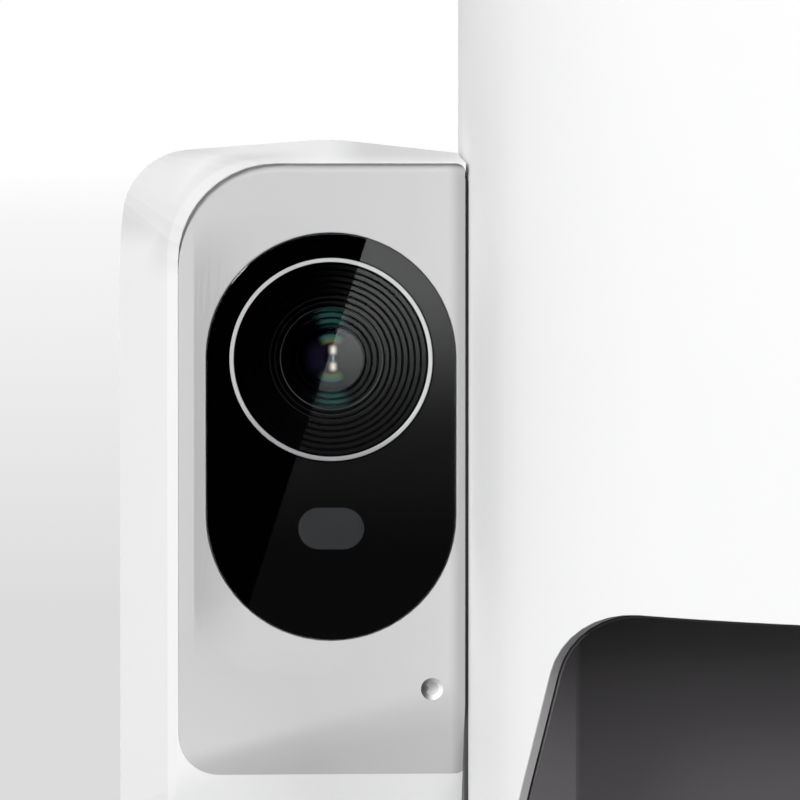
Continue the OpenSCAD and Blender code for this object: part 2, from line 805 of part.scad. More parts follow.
// Cover of the battery box: it follows the round wall and pulls straight off
module battery_cover()
{
  mid = (battery_z + battery_top) / 2;
  tall = battery_top - battery_z;
  color(shell_white) placed() difference() {
    union() {
      intersection() {
        tube(body_r, housing_in, battery_z, battery_top);
        from_front(10, body_r + 5) polygon(soft_rect([0, mid],
          2 * (cover_half_w - slide_gap), tall - 2 * slide_gap, 5 - slide_gap));
      }
      intersection() {
        for (s = [-1, 1], x = [-22, 22])
          translate([x - 5, housing_in - 9, mid + s * (tall / 2 - 2.6) - 0.8])
            cube([10, 12, 1.6]);
        cylinder(r = body_r - 1.5, h = far, $fn = 180);
      }
    }
    from_front(body_r - 3.2, body_r + 4) polygon(soft_rect([0, battery_top - 9], 22, 6, 2.9));
    for (i = [0 : 4]) translate([-16, body_r - 1.1, battery_z + 10 + 3 * i])
      cube([32, 4, 1]);
  }
}

module power_inlet()
{
  color("#2b2b2d") placed() at_back(inlet_angle) difference() {
    union() {
      rod_y(0, inlet_z, 5, body_r - 11, body_r - 0.3);
      translate([-6, body_r - 16, inlet_z - 6]) cube([12, 12, 12]);
    }
    difference() {
      rod_y(0, inlet_z, 2.8, body_r - 10, body_r + 2);
      rod_y(0, inlet_z, 1, body_r - 12, body_r - 1.5);
    }
  }
}

module speaker()
{
  y = housing_in - 5;
  color("#2c2c2e") placed() at_back(speaker_angle) translate([0, y, speaker_z])
    rotate([90, 0, 0]) rotate_extrude($fn = 64) polygon([[0, 1.2], [5, 1.2], [7, 2.4],
      [14, 0.6], [16, 0], [speaker_r, 0], [speaker_r, 2], [15, 3], [11, 7], [9, 7], [9, 10],
      [0, 10]]);
}

module light_ring()
{
  color("#f7f8f8") placed() difference() {
    union() {
      rod_y(0, button_z, 9.3, -body_r - 0.1, -body_r + 11);
      rod_y(0, button_z, 10.4, -body_r - 0.7, -body_r - 0.02);
    }
    rod_y(0, button_z, button_r + slide_gap, -body_r - 2, -body_r + 12);
  }
}

module button_board()
{
  color("#1f5c3a") placed() union() {
    rod_y(0, button_z, 9.3, -body_r + 11, -body_r + 12.6);
    rod_y(0, button_z, 2, -body_r + 8.4, -body_r + 11.5);
  }
}

// The feed button has a shallow dish for the finger
module feed_button()
{
  color("#e9eaeb") placed() difference() {
    rod_y(0, button_z, button_r, -body_r - 1.4, -body_r + 6.8);
    translate([0, -body_r - 41, button_z]) sphere(r = 40.4, $fn = 120);
  }
}

module hinge_pin()
{
  color("#b5b7ba") placed() translate([-20.5, hinge_y, hinge_z]) rotate([0, 90, 0])
    cylinder(r = 1.5, h = 41, $fn = 32);
}

// Outline of the camera pod in front view. Its left side leans in a little below the top
// corner, and the top rises to a ridge over the lens.
module pod_outline(left, top, ridge, bottom, r)
{
  right = -body_r + 8;
  polygon(rounded([[right, bottom], [left, bottom], [left, top - 12],
    [left + ridge / 2, top], [lens_x, top + ridge], [right, top - 0.6 * ridge]],
    [0, r * 0.8, 40, r, 30, 0], 9));
}

// Sections of the pod, joined into one flared shell with a rounded back. Each is
// [depth behind the face, growth to the left, rise of the top, ridge, drop, corner].
function pod_sections() =
  let (rise = 2.1,
       full = pod_ridge - rise,
       deep = pod_flare_depth,
       rest = pod_depth - deep)
  [[0, 0.15, plate_band + 0.12, 0.1, pod_chin - 3.2, plate_corner_r + 0.2],
   [2.1, 1.4, plate_band + 0.5, 0.2, pod_chin - 1.6, plate_corner_r],
   [deep, pod_flare, rise, full, pod_chin, 8.5],
   [deep + rest * 0.34, pod_flare, rise - 0.2, full, pod_chin, 10],
   [deep + rest * 0.62, pod_flare - 1.5, rise - 1.3, full * 0.9, pod_chin - 0.9, 12],
   [deep + rest * 0.85, pod_flare - 4.6, rise - 3.3, full * 0.7, pod_chin - 3, 13],
   [pod_depth, pod_flare - 9, rise - 6.3, full * 0.4, pod_chin - 7, 12]];

module pod_form(inset)
{
  hull() for (s = pod_sections())
    from_front(-pod_face + s[0] + (s[0] == 0 ? inset : -inset) - 0.05,
      -pod_face + s[0] + (s[0] == 0 ? inset : -inset))
      pod_outline(plate_left - s[1] + inset, plate_top + s[2] - inset, s[3],
        plate_bottom - s[4] + inset, max(2, s[5] - inset));
}

// The front plate's outline, with the band along its top, grown by extra
function plate_points(extra, band = plate_band) =
  let (top = plate_top + band + extra,
       low = plate_bottom - extra,
       right = plate_right + extra,
       left = plate_left - extra)
  rounded([[right, low], [right, top], [left, top], [left, low]],
    [1.2 + extra, 1.2 + extra, plate_corner_r + extra, plate_lower_r + extra], 10);

module pod_shell()
{
  back = -pod_face + plate_t;
  color(shell_white) placed() difference() {
    union() {
      difference() {
        pod_form(0);
        intersection() {
          pod_form(pod_wall);
          from_front(back + 2.6, far) translate([-far, 0]) square([2 * far, far]);
        }
      }
      intersection() {
        pod_form(0.5);
        union() {
          for (p = pod_screw_spots()) translate([-body_r - 22, p[0], p[1]])
            rotate([0, 90, 0]) cylinder(r = 3.6, h = 24);
          for (p = pod_screw_spots()) translate([-body_r - 22, p[0], p[1] - 1])
            cube([24, pod_depth - pod_face - p[0] - 1, 2]);
        }
      }
    }
    cylinder(r = body_r + gasket_t, h = far, $fn = 180);
    from_front(-pod_face - 1, back + 0.05) polygon(plate_points(0.02));
    face_fall();
    from_front(back - 1, back + 4)
      polygon(soft_rect([lens_x, window_z], window_w - 1, window_h - 1, 14));
    rod_y(mic_x, mic_z, 2.2, back - 1, back + 4);
    for (p = pod_screw_spots()) translate([-body_r - 14, p[0], p[1]]) rotate([0, 90, 0])
      cylinder(r = 1.2, h = 20);
    for (i = [0 : 4]) translate([lens_x - 8 + 4 * i, 2, pod_bottom - 1])
      translate([-0.8, 0, 0]) cube([1.6, 14, 6]);
  }
}

module pod_gasket()
{
  color("#1c1c1e") placed() intersection() {
    difference() {
      tube(body_r + gasket_t, body_r + 0.04, pod_bottom + 3, plate_top - 1);
      translate([-body_r - 2, 14, 160]) rotate([0, 90, 0]) cylinder(r = 9, h = 8);
      for (p = pod_screw_spots()) translate([-body_r - 2, p[0], p[1]])
        rotate([0, 90, 0]) cylinder(r = 1.7, h = 16);
    }
    translate([-2 * body_r, -pod_face + 0.8, 0]) cube([2 * body_r, pod_depth - 7, far]);
  }
}

module pod_screws()
{
  color("#8e9093") placed() for (p = pod_screw_spots())
    translate([-sqrt(housing_in * housing_in - pow(abs(p[0]) + 3, 2)) + 2.1, p[0], p[1]])
      rotate([0, -90, 0]) screw(3, 2, 1.15, 14);
}

// Eases from 0 to 1
function ease(t) = t >= 1 ? 1 : t <= 0 ? 0 : t * t * (3 - 2 * t);

// Left edge of the plate's dish from its low end to its top end, as [x, z]
function dish_edge(left, low, low_r, top, top_r) =
  let (low_c = [left + low_r, low + low_r],
       top_c = [left + top_r, top - top_r])
  concat(arc(low_c, low_r, 270, 180, 5),
    [for (t = [0.2 : 0.2 : 0.81]) [left, low_c[1] + t * (top_c[1] - low_c[1])]],
    arc(top_c, top_r, 180, 90, 5));

// Cutter for the dish in the plate's face: from a crease left of the window the surface
// falls away, levels out under the window and comes back to the face on the right
module plate_dish()
{
  depth = 0.75;
  wide = 8;
  clear = 0.02;
  top = plate_top - 3.5;
  low = window_z - window_h / 2 - 5.3;
  edge = dish_edge(plate_left + 1.83, low, 9.4, top, 6.6);
  across_u = [0, 0.06, 0.14, 0.25, 0.4, 0.6, 0.85, 1.2, 1.6, 2.1, 2.6];
  rows = len(edge);
  cols = len(across_u);
  floor_y = [for (e = edge, u = across_u)
    let (along = ease((top - e[1]) / 18) * ease((e[1] - low) / 14),
         fall = u < 1 ? 1 - pow(1 - u, 3) : 1 - ease((u - 1) / 1.6))
    depth * along * fall - clear];
  places = [for (e = edge, u = across_u) [e[0] + u * wide, e[1]]];
  floor_points = [for (k = [0 : rows * cols - 1])
    [places[k][0], -pod_face + floor_y[k], places[k][1]]];
  lid_points = [for (p = places) [p[0], -pod_face - 1, p[1]]];
  rim = concat([for (j = [0 : cols - 1]) j],
    [for (i = [1 : rows - 1]) i * cols + cols - 1],
    [for (j = [cols - 2 : -1 : 0]) (rows - 1) * cols + j],
    [for (i = [rows - 2 : -1 : 1]) i * cols]);
  n = rows * cols;
  m = len(rim);
  polyhedron(concat(floor_points, lid_points), concat(
    [for (i = [0 : rows - 2], j = [0 : cols - 2])
      [i * cols + j, i * cols + j + 1, (i + 1) * cols + j + 1]],
    [for (i = [0 : rows - 2], j = [0 : cols - 2])
      [i * cols + j, (i + 1) * cols + j + 1, (i + 1) * cols + j]],
    [for (k = [0 : m - 1]) [rim[k], n + rim[k], n + rim[(k + 1) % m], rim[(k + 1) % m]]],
    [[for (k = [m - 1 : -1 : 0]) n + rim[k]]]), convexity = 4);
}

// Cutter for the pod's lower face: below a slanting line it curves back to a slope
module face_fall()
{
  bend_r = 22;
  slope = 14;
  run = bend_r * sin(slope);
  sink = bend_r * (1 - cos(slope));
  reach = 40;
  translate([plate_left + 1.4, -pod_face - eps, plate_bottom + 3.3]) rotate([0, -15, 0]) {
    difference() {
      translate([-20, -1, -run]) cube([80, 1 + sink, run]);
      translate([-30, bend_r, 0]) rotate([0, 90, 0])
        cylinder(r = bend_r, h = 100, $fn = 360);
    }
    across(-20, 60) polygon([[-1, eps - run], [sink, eps - run],
      [sink + (reach - run) * tan(slope), -reach], [-1, -reach]]);
  }
}

// Cutter that rounds the plate's face off along its right edge
module plate_edge()
{
  edge_r = 5;
  start = plate_right - 1.63;
  tall = plate_top + plate_band - plate_bottom + 2;
  difference() {
    translate([start, -pod_face - 1, plate_bottom - 1]) cube([4, 2, tall]);
    translate([start, -pod_face + edge_r, plate_bottom - 2])
      cylinder(r = edge_r, h = tall + 2, $fn = 120);
  }
}

module front_plate()
{
  ledge = 0.45;
  color(plate_grey) placed() difference() {
    union() {
      from_front(-pod_face, -pod_face + plate_t) polygon(plate_points(0, 0));
      from_front(-pod_face + ledge, -pod_face + plate_t) polygon(plate_points(0));
    }
    plate_dish();
    face_fall();
    plate_edge();
    cylinder(r = body_r + gasket_t + eps, h = far, $fn = 180);
    from_front(-pod_face - 1, baffle_y)
      polygon(soft_rect([lens_x, window_z], window_w + 0.1, window_h + 0.1,
        window_w / 2 + 0.04, 16));
    rod_y(lens_x, lens_z, ring_r + 0.1, -pod_face, 0);
    from_front(-pod_face, 0) polygon(soft_rect([lens_x, sensor_z], sensor_w - 1,
      sensor_h - 1, sensor_h / 2 - 0.55));
    rod_y(mic_x - 0.85, mic_z, 0.42, -pod_face - 1, 0);
    translate([mic_x, -pod_face - 0.1, mic_z]) sphere(r = mic_r, $fn = 40);
  }
}

module window_glass()
{
  color([0.1, 0.1, 0.1, 0.4]) placed() from_front(glass_y, mask_y)
    polygon(soft_rect([lens_x, window_z], window_w, window_h, window_w / 2 - eps, 16));
}

module window_mask()
{
  color("#08080a") placed() difference() {
    from_front(mask_y, baffle_y)
      polygon(soft_rect([lens_x, window_z], window_w, window_h, window_w / 2 - eps, 16));
    rod_y(lens_x, lens_z, ring_r + eps, mask_y - 1, baffle_y + 1);
    from_front(mask_y - 1, baffle_y + 1) polygon(soft_rect([lens_x, sensor_z],
      sensor_w + 0.04, sensor_h + 0.04, sensor_h / 2));
  }
}

module sensor_window()
{
  color("#2e2e30") placed() from_front(mask_y, baffle_y)
    polygon(soft_rect([lens_x, sensor_z], sensor_w, sensor_h, sensor_h / 2 - eps));
}

module lens_ring()
{
  color("#c9cbcd") placed() difference() {
    rod_y(lens_x, lens_z, ring_r, mask_y, baffle_y);
    rod_y(lens_x, lens_z, ring_r - ring_w, mask_y - 1, baffle_y + 1);
  }
}

// The baffle steps down to the lens in fine rings with flat treads
module lens_baffle()
{
  outer = ring_r - 0.1;
  step_r = (ring_r - ring_w - lens_r - 0.3) / baffle_steps;
  step_y = (baffle_depth - 0.4) / baffle_steps;
  stairs = [for (i = [0 : baffle_steps - 1]) each [
    [lens_r + 0.3 + (baffle_steps - i) * step_r, -i * step_y],
    [lens_r + 0.3 + (baffle_steps - i) * step_r - 0.3, -(i + 1) * step_y]]];
  color("#0b0b0c") placed() translate([lens_x, baffle_y, lens_z]) rotate([90, 0, 0])
    rotate_extrude($fn = 96) polygon([each stairs, [lens_r + 0.3, -baffle_depth],
      [outer - 2, -baffle_depth], [outer, -baffle_depth + 2], [outer, 0]]);
}

module lens_barrel()
{
  color("#141416") placed() translate([lens_x, barrel_y, lens_z]) rotate([-90, 0, 0])
    rotate_extrude($fn = 72) polygon([[lens_r + 0.05, 0], [lens_r + 1.6, 0],
      [lens_r + 1.6, 4], [lens_r + 3.4, 5], [lens_r + 3.4, 13], [lens_r + 2.4, 13],
      [lens_r - 0.6, 13], [lens_r - 0.6, 3], [lens_r + 0.05, 3]]);
}

// A glass element with one curved face towards the front
module element(y, r, bulge, t)
{
  ball = (r * r + bulge * bulge) / (2 * bulge);
  translate([lens_x, y, lens_z]) rotate([90, 0, 0]) intersection() {
    translate([0, 0, -t]) cylinder(r = r, h = t + bulge, $fn = 72);
    translate([0, 0, bulge - ball]) sphere(r = ball, $fn = 96);
  }
}

module lens_elements()
{
  color([0.2, 0.4, 0.45, 0.6]) placed() {
    rod_y(lens_x, lens_z, lens_r, barrel_y + 0.1, barrel_y + 0.6);
    element(barrel_y + 2, lens_r, 1.2, 1);
    element(barrel_y + 5.2, lens_r - 0.65, 0.7, 1);
    element(barrel_y + 9, lens_r - 0.65, 0.9, 1.2);
  }
}

module image_board()
{
  y = barrel_y + 13;
  color("#1f5c3a") placed() union() {
    from_front(y, y + 1.2) polygon(soft_rect([lens_x, lens_z], 24, 24, 2));
    from_front(y - 1, y + 0.5) polygon(soft_rect([lens_x, lens_z], 5.4, 4.2, 0.2));
    from_front(y + 1, y + 4) polygon(soft_rect([lens_x + 4, lens_z - 4], 9, 4, 0.3));
  }
}

module microphone()
{
  y = -pod_face + plate_t;
  color("#b59a5b") placed() rod_y(mic_x, mic_z, 2, y, y + 1.4);
}

module lid()
{
  edge = body_r - lid_edge_r;
  roof = lid_top - 2;
  color(shell_white) placed() difference() {
    union() {
      rotate_extrude($fn = 180) polygon([[0, roof - wall + 1.6], [edge - 14, roof - wall],
        each arc([edge, roof - lid_edge_r], lid_edge_r - wall, 90, 0, 8),
        [housing_in, lid_bottom], [body_r - 0.6, lid_bottom],
        [body_r, lid_bottom + 0.6],
        each arc([edge, roof - lid_edge_r], lid_edge_r, 0, 90, 12),
        [edge - 16, roof], [edge - 20, lid_top - 1], [0, lid_top]]);
      tube(hopper_r + hopper_wall + 2, hopper_r - 2, ledge_z + flange_t + 2 + seal_h,
        roof - wall + 0.5);
      tube(dryer_r + 2.1, dryer_r + 0.1, ledge_z + flange_t + 2, roof - wall + 1.2);
      lid_knuckle();
    }
    translate([0, hinge_y, hinge_z]) rotate([0, 90, 0]) translate([0, 0, -30])
      cylinder(r = 1.5 + run_gap, h = 60, $fn = 48);
    difference() {
      translate([0, hinge_y, hinge_z]) rotate([0, 90, 0]) translate([0, 0, -30])
        cylinder(r = knuckle_r + 0.6, h = 60, $fn = 48);
      translate([-13.5, 0, 0]) cube([27, far, far]);
    }
    translate([-latch_half_w - slide_gap, -body_r - 1, lid_bottom - 1])
      cube([2 * latch_half_w + 2 * slide_gap, 7.6, 11]);
    translate([-latch_half_hook - 2, -body_r + 5, lid_bottom - 12])
      cube([2 * latch_half_hook + 4, 6.5, 20]);
  }
}

module lid_knuckle()
{
  translate([-13.5, 0, 0]) rotate([90, 0, 90]) linear_extrude(27) union() {
    translate([hinge_y, hinge_z]) circle(r = knuckle_r, $fn = 48);
    polygon([[body_r - 3, lid_bottom + 0.6], [hinge_y, lid_bottom + 0.6],
      [hinge_y, hinge_z + knuckle_r], [body_r - 3, hinge_z + knuckle_r + 2]]);
  }
}

module lid_seal()
{
  z = ledge_z + flange_t + 2;
  color("#9a9da0") placed() tube(hopper_r + hopper_wall + 1, hopper_r - 1, z + 0.3, z + seal_h);
}

module desiccant_box()
{
  z = ledge_z + flange_t + 2;
  color("#dfe0e1") placed() difference() {
    tube(dryer_r, dryer_r - 1.9, z - 12, z + 6);
    for (a = [0 : 30 : 330]) rotate([0, 0, a]) translate([dryer_r - 7, -1.5, z - 9])
      cube([10, 3, 6]);
  }
}

// The cap under the drying agent turns by a finger bar
module desiccant_cap()
{
  z = ledge_z + flange_t + 2 - 12;
  color("#eeeff0") placed() difference() {
    union() {
      translate([0, 0, z - 2]) cylinder(r = dryer_r, h = 2 - slide_gap);
      translate([-dryer_r + 12, -1.5, z - 6]) cube([2 * dryer_r - 24, 3, 4.5]);
      tube(dryer_r - 1.9 - slide_gap, dryer_r - 3.7, z - 1, z + 4);
    }
    for (a = [20 : 20 : 160], s = [0, 180]) rotate([0, 0, a + s]) translate([9, -1, z - 4])
      cube([10, 2, 6]);
  }
}

// The latch slides in under the thumb, and its hook stands under the rim's catch
module lid_latch()
{
  half = latch_half_w;
  inner = -body_r + 8.2;
  outer = inner - 2;
  tip = -housing_in + 1;
  color("#dcdddf") placed() union() {
    intersection() {
      translate([-half, -body_r - 0.6, lid_bottom]) cube([2 * half, 4.4, 9.6]);
      cylinder(r = body_r + 0.6, h = far, $fn = 180);
    }
    intersection() {
      across(-latch_half_hook, latch_half_hook) polygon([[-body_r + 3, lid_bottom + 1],
        [-body_r + 3, lid_bottom + 4], [inner, lid_bottom + 4], [inner, latch_foot_z],
        [outer, latch_foot_z], [tip, latch_foot_z + 1.2], [tip, catch_z - slide_gap],
        [outer, catch_z - slide_gap], [outer, lid_bottom + 1]]);
      cylinder(r = housing_in - 1, h = far, $fn = 180);
    }
  }
}

module rotor()
{
  color("#e4e5e6") placed() difference() {
    union() {
      rotate_extrude($fn = 72) polygon([[0, rotor_z], [11, rotor_z],
        [11, rotor_z + rotor_h - 6], each arc([0, rotor_z + rotor_h - 6], 11, 0, 90, 10)]);
      for (i = [0 : rotor_blades - 1]) rotate([0, 0, i * 360 / rotor_blades])
        intersection() {
          rotate([90, 0, 0]) translate([0, 0, -1.4]) linear_extrude(2.8)
            polygon([[8, rotor_z], [rotor_r, rotor_z], [rotor_r, rotor_z + rotor_h - 4],
              [rotor_r - 4, rotor_z + rotor_h - 1], [8, rotor_z + rotor_h - 4]]);
          cylinder(r = rotor_r, h = far);
        }
    }
    translate([0, 0, rotor_z - 1]) cylinder(r = shaft_r, h = 13);
  }
}

module rotor_shaft()
{
  color("#c6c8ca") placed() translate([0, 0, case_z + case_wall - 1])
    cylinder(r = shaft_r, h = rotor_z + 12 - case_z - case_wall + 1);
}

// The rotor's blades and the output gear are in step with the idler at rest
module output_gear()
{
  z = case_z + 12;
  color("#f0efe9") placed() difference() {
    union() {
      translate([0, 0, z]) gear(output_teeth, 6, 90);
      translate([0, 0, z - 1]) cylinder(r = 6, h = 10);
    }
    difference() {
      translate([0, 0, z - 2]) cylinder(r = output_teeth * gear_m / 2 - 3.5, h = 3.5);
      translate([0, 0, z - 3]) cylinder(r = 8, h = 5);
    }
    for (a = [0 : 60 : 300]) rotate([0, 0, a]) translate([13, 0, z - 1])
      cylinder(r = 3, h = 8, $fn = 32);
    translate([0, 0, z - 2]) cylinder(r = shaft_r, h = 14);
  }
}

module idler_gear()
{
  low = case_z + 3.2;
  small_phase = -90 + 180 / idler_small_teeth;
  color("#f0efe9") placed() translate([0, idler_y, 0]) difference() {
    union() {
      translate([0, 0, low]) gear(idler_large_teeth, 5, 90);
      translate([0, 0, low + 4.5]) gear(idler_small_teeth, 12, small_phase);
    }
    translate([0, 0, low - 1]) cylinder(r = 1.5 + run_gap, h = 20, $fn = 32);
    for (a = [30 : 60 : 330]) rotate([0, 0, a]) translate([13, 0, low - 1])
      cylinder(r = 3, h = 8, $fn = 32);
  }
}

module motor_pinion()
{
  low = case_z + 2.6;
  color("#c8a95e") placed() translate([0, motor_y, 0]) union() {
    translate([0, 0, low]) gear(pinion_teeth, 6.4, -90 + 180 / pinion_teeth);
    translate([0, 0, case_z - 12]) cylinder(r = 1, h = low - case_z + 13, $fn = 32);
  }
}

// The tray stands on the bay's floor and reaches down to the floor in front
module bowl_tray()
{
  edge = 3;
  color(shell_white) placed() difference() {
    translate([0, -bowl_y, 0]) rotate_extrude($fn = 180) polygon([[0, 1], [tray_r - 1, 1],
      [tray_r, 2], [tray_r, tray_top - edge],
      each arc([tray_r - edge, tray_top - edge], edge, 0, 90, 8), [0, tray_top]]);
    cylinder(r = body_r + 0.4, h = liner_floor + slide_gap, $fn = 180);
    translate([0, -bowl_y, liner_floor + 2.4]) cylinder(r = bowl_r + bowl_gap, h = 60);
    difference() {
      translate([0, -bowl_y, -1]) cylinder(r = tray_r - 3, h = liner_floor + 1.4);
      cylinder(r = body_r + 3, h = far);
      for (p = tray_spots) translate([p[0], p[1], -2]) cylinder(r = 6, h = far);
    }
  }
}

module tray_feet()
{
  color("#3a3a3c") placed() for (p = tray_spots) translate([p[0], p[1], 0])
    rotate_extrude($fn = 48) polygon([[0, 0.4], [2.4, 0.4], [2.8, 0], [4.4, 0], [5, 0.5],
      [5, 1], [0, 1]]);
}

module bowl()
{
  z = liner_floor + 2.7;
  rim_z0 = z + bowl_h;
  color("#d9dbdd") placed() translate([0, -bowl_y, 0]) rotate_extrude($fn = 160)
    polygon([each [for (p = arc([bowl_r - 14, z + 14], 14, -90, 0, 12)) p],
      [bowl_r, rim_z0 - 2], [bowl_r + 3.4, rim_z0 - 1.4], [bowl_r + 4.4, rim_z0 - 0.4],
      [bowl_r + 3.6, rim_z0], [bowl_r - 0.6, rim_z0 - 0.6],
      each [for (p = arc([bowl_r - 14, z + 14], 13.1, 0, -90, 12)) p], [0, z + 0.9], [0, z]]);
}

housing();
bay_liner();
base_pan();
base_feet();
base_screws();
hopper();
dosing_chamber();
outlet_guard();
food_chute();
gearbox_case();
gearbox_cover();
gear_motor();
idler_pin();
main_board();
board_parts();
battery_box();
battery_contacts();
battery_cells();
power_inlet();
speaker();
light_ring();
button_board();
hinge_pin();
pod_shell();
pod_gasket();
pod_screws();
front_plate();
window_glass();
window_mask();
lens_ring();
lens_baffle();
lens_barrel();
lens_elements();
image_board();
sensor_window();
microphone();
lid();
lid_seal();
desiccant_box();
lid_latch();
desiccant_cap();
rotor();
rotor_shaft();
output_gear();
idler_gear();
motor_pinion();
battery_cover();
feed_button();
bowl_tray();
tray_feet();
bowl();
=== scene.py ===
import json
import math

import bmesh
import bpy
from bpy.props import FloatProperty, FloatVectorProperty, PointerProperty
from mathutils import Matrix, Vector


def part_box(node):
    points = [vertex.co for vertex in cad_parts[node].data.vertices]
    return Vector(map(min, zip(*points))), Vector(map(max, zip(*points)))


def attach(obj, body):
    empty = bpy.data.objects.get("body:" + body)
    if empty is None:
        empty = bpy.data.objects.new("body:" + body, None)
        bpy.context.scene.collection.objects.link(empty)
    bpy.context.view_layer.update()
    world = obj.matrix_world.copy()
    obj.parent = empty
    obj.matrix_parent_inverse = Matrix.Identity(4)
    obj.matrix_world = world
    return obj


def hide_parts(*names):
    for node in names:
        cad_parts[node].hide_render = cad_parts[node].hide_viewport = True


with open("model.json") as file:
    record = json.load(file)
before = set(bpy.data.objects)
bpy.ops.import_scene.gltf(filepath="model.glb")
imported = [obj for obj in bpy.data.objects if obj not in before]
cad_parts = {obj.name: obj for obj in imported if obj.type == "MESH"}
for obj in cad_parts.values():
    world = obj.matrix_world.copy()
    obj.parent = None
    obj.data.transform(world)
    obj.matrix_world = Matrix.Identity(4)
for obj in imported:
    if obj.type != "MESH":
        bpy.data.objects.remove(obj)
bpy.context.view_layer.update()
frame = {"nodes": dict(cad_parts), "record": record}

bl_info = {
    "name": "Pet Feeder Dresser",
    "version": (1, 0, 0),
    "blender": (4, 5, 0),
    "location": "3D View > Sidebar > Feeder",
    "description": "Gives the packed pet feeder its finishes, its fine pieces and a small studio",
    "category": "Object",
}

MM = 0.001


def middle(node):
    """Centre of a node's box at rest."""
    low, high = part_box(node)
    return (low + high) / 2


# Sizes that the frame's boxes don't give, in millimetres

BODY_R = 90
BAY_TOP = 152.8
BAY_BACK_HALF = 75.7
BAFFLE_BORE = 4.3
BAFFLE_PITCH = 0.74
BAFFLE_RIM = 12.1
LENS_DISC_R = 4.0

# Places read from the frame, in metres

BODY_AXIS = Vector((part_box("housing")[1].x - BODY_R * MM, middle("rotor").y, 0))
BAY_EDGE = BODY_AXIS + Vector((0, 0, BAY_TOP)) * MM
VIEW_AIM = BODY_AXIS + Vector((-97.074, -14, 175.8)) * MM
LENS = middle("lens_ring")
WINDOW = middle("window_glass")
PLATE_LOW, PLATE_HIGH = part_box("front_plate")
POD_LOW, POD_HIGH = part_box("pod_shell")
BOWL_AXIS = middle("bowl")
BARREL_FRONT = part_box("lens_barrel")[0].y

# Every finish by the name of its slot, node or piece, filled by the first step

FINISHES = {}


class FeederColours(bpy.types.PropertyGroup):
    """Colours of the feeder's finishes, as linear values."""

    shell: FloatVectorProperty(
        name="Shell white", description="White of the housing, lid and pod",
        subtype="COLOR", min=0, max=1, default=(0.86, 0.86, 0.865))
    plate: FloatVectorProperty(
        name="Plate grey", description="Light grey of the pod's front plate",
        subtype="COLOR", min=0, max=1, default=(0.606, 0.604, 0.611))
    liner: FloatVectorProperty(
        name="Liner grey", description="Dark grey of the feeding bay",
        subtype="COLOR", min=0, max=1, default=(0.148, 0.139, 0.148))
    natural: FloatVectorProperty(
        name="Natural plastic", description="Undyed plastic of the food path",
        subtype="COLOR", min=0, max=1, default=(0.72, 0.72, 0.70))
    mask: FloatVectorProperty(
        name="Window black", description="Print behind the clear window",
        subtype="COLOR", min=0, max=1, default=(0.0004, 0.0004, 0.0004))


class FeederStudio(bpy.types.PropertyGroup):
    """Sizes of the studio round the feeder."""

    distance: FloatProperty(
        name="Camera distance", description="From the camera to the point that it looks at",
        subtype="DISTANCE", unit="LENGTH", default=0.8)
    elevation: FloatProperty(
        name="Camera elevation", description="Height of the view above level",
        subtype="ANGLE", default=math.radians(2))
    lens: FloatProperty(
        name="Focal length", description="Of the camera's lens, in millimetres", default=300)
    key: FloatProperty(
        name="Key power", description="Of the soft lamp at the upper left",
        subtype="POWER", min=0, default=60)
    fill: FloatProperty(
        name="Fill power", description="Of the low lamp at the right",
        subtype="POWER", min=0, default=8)
    rear: FloatProperty(
        name="Rear power", description="Of the soft lamp behind the feeder",
        subtype="POWER", min=0, default=32)
    room: FloatProperty(
        name="Room level", description="How bright the room around is", min=0, default=0.06)
    floor_r: FloatProperty(
        name="Floor radius", description="Of the pale floor",
        subtype="DISTANCE", unit="LENGTH", default=120)


def colours():
    return bpy.context.scene.feeder_colours


def studio():
    return bpy.context.scene.feeder_studio


class Wire:
    """An output socket of a finish. Maths on it adds the nodes that work it out."""

    def __init__(self, finish, socket):
        self.finish = finish
        self.socket = socket

    def maths(self, operation, *values):
        settings = {"operation": operation}
        return self.finish.node("ShaderNodeMath", settings, dict(enumerate(values)))

    def __add__(self, other):
        return self.maths("ADD", self, other)

    def __radd__(self, other):
        return self.maths("ADD", other, self)

    def __sub__(self, other):
        return self.maths("SUBTRACT", self, other)

    def __rsub__(self, other):
        return self.maths("SUBTRACT", other, self)

    def __mul__(self, other):
        return self.maths("MULTIPLY", self, other)

    def __rmul__(self, other):
        return self.maths("MULTIPLY", other, self)

    def __truediv__(self, other):
        return self.maths("DIVIDE", self, other)

    def __rtruediv__(self, other):
        return self.maths("DIVIDE", other, self)

    def __pow__(self, other):
        return self.maths("POWER", self, other)

    def most(self, other):
        return self.maths("MAXIMUM", self, other)

    def size(self):
        return self.maths("ABSOLUTE", self)

    def root(self):
        return self.maths("SQRT", self)

    def remainder(self, other):
        return self.maths("FLOORED_MODULO", self, other)

    def step(self, low, high):
        """0 below low and 1 above high, smooth between them. It falls if low is above high."""
        settings = {"interpolation_type": "SMOOTHSTEP", "clamp": True}
        rising = low < high
        a, b = (low, high) if rising else (high, low)
        ends = {"Value": self, "From Min": a, "From Max": b,
                "To Min": 0 if rising else 1, "To Max": 1 if rising else 0}
        return self.finish.node("ShaderNodeMapRange", settings, ends)

    def band(self, low, high, soft):
        """1 between low and high, with soft edges."""
        return self.step(low - soft, low) * self.step(high + soft, high)


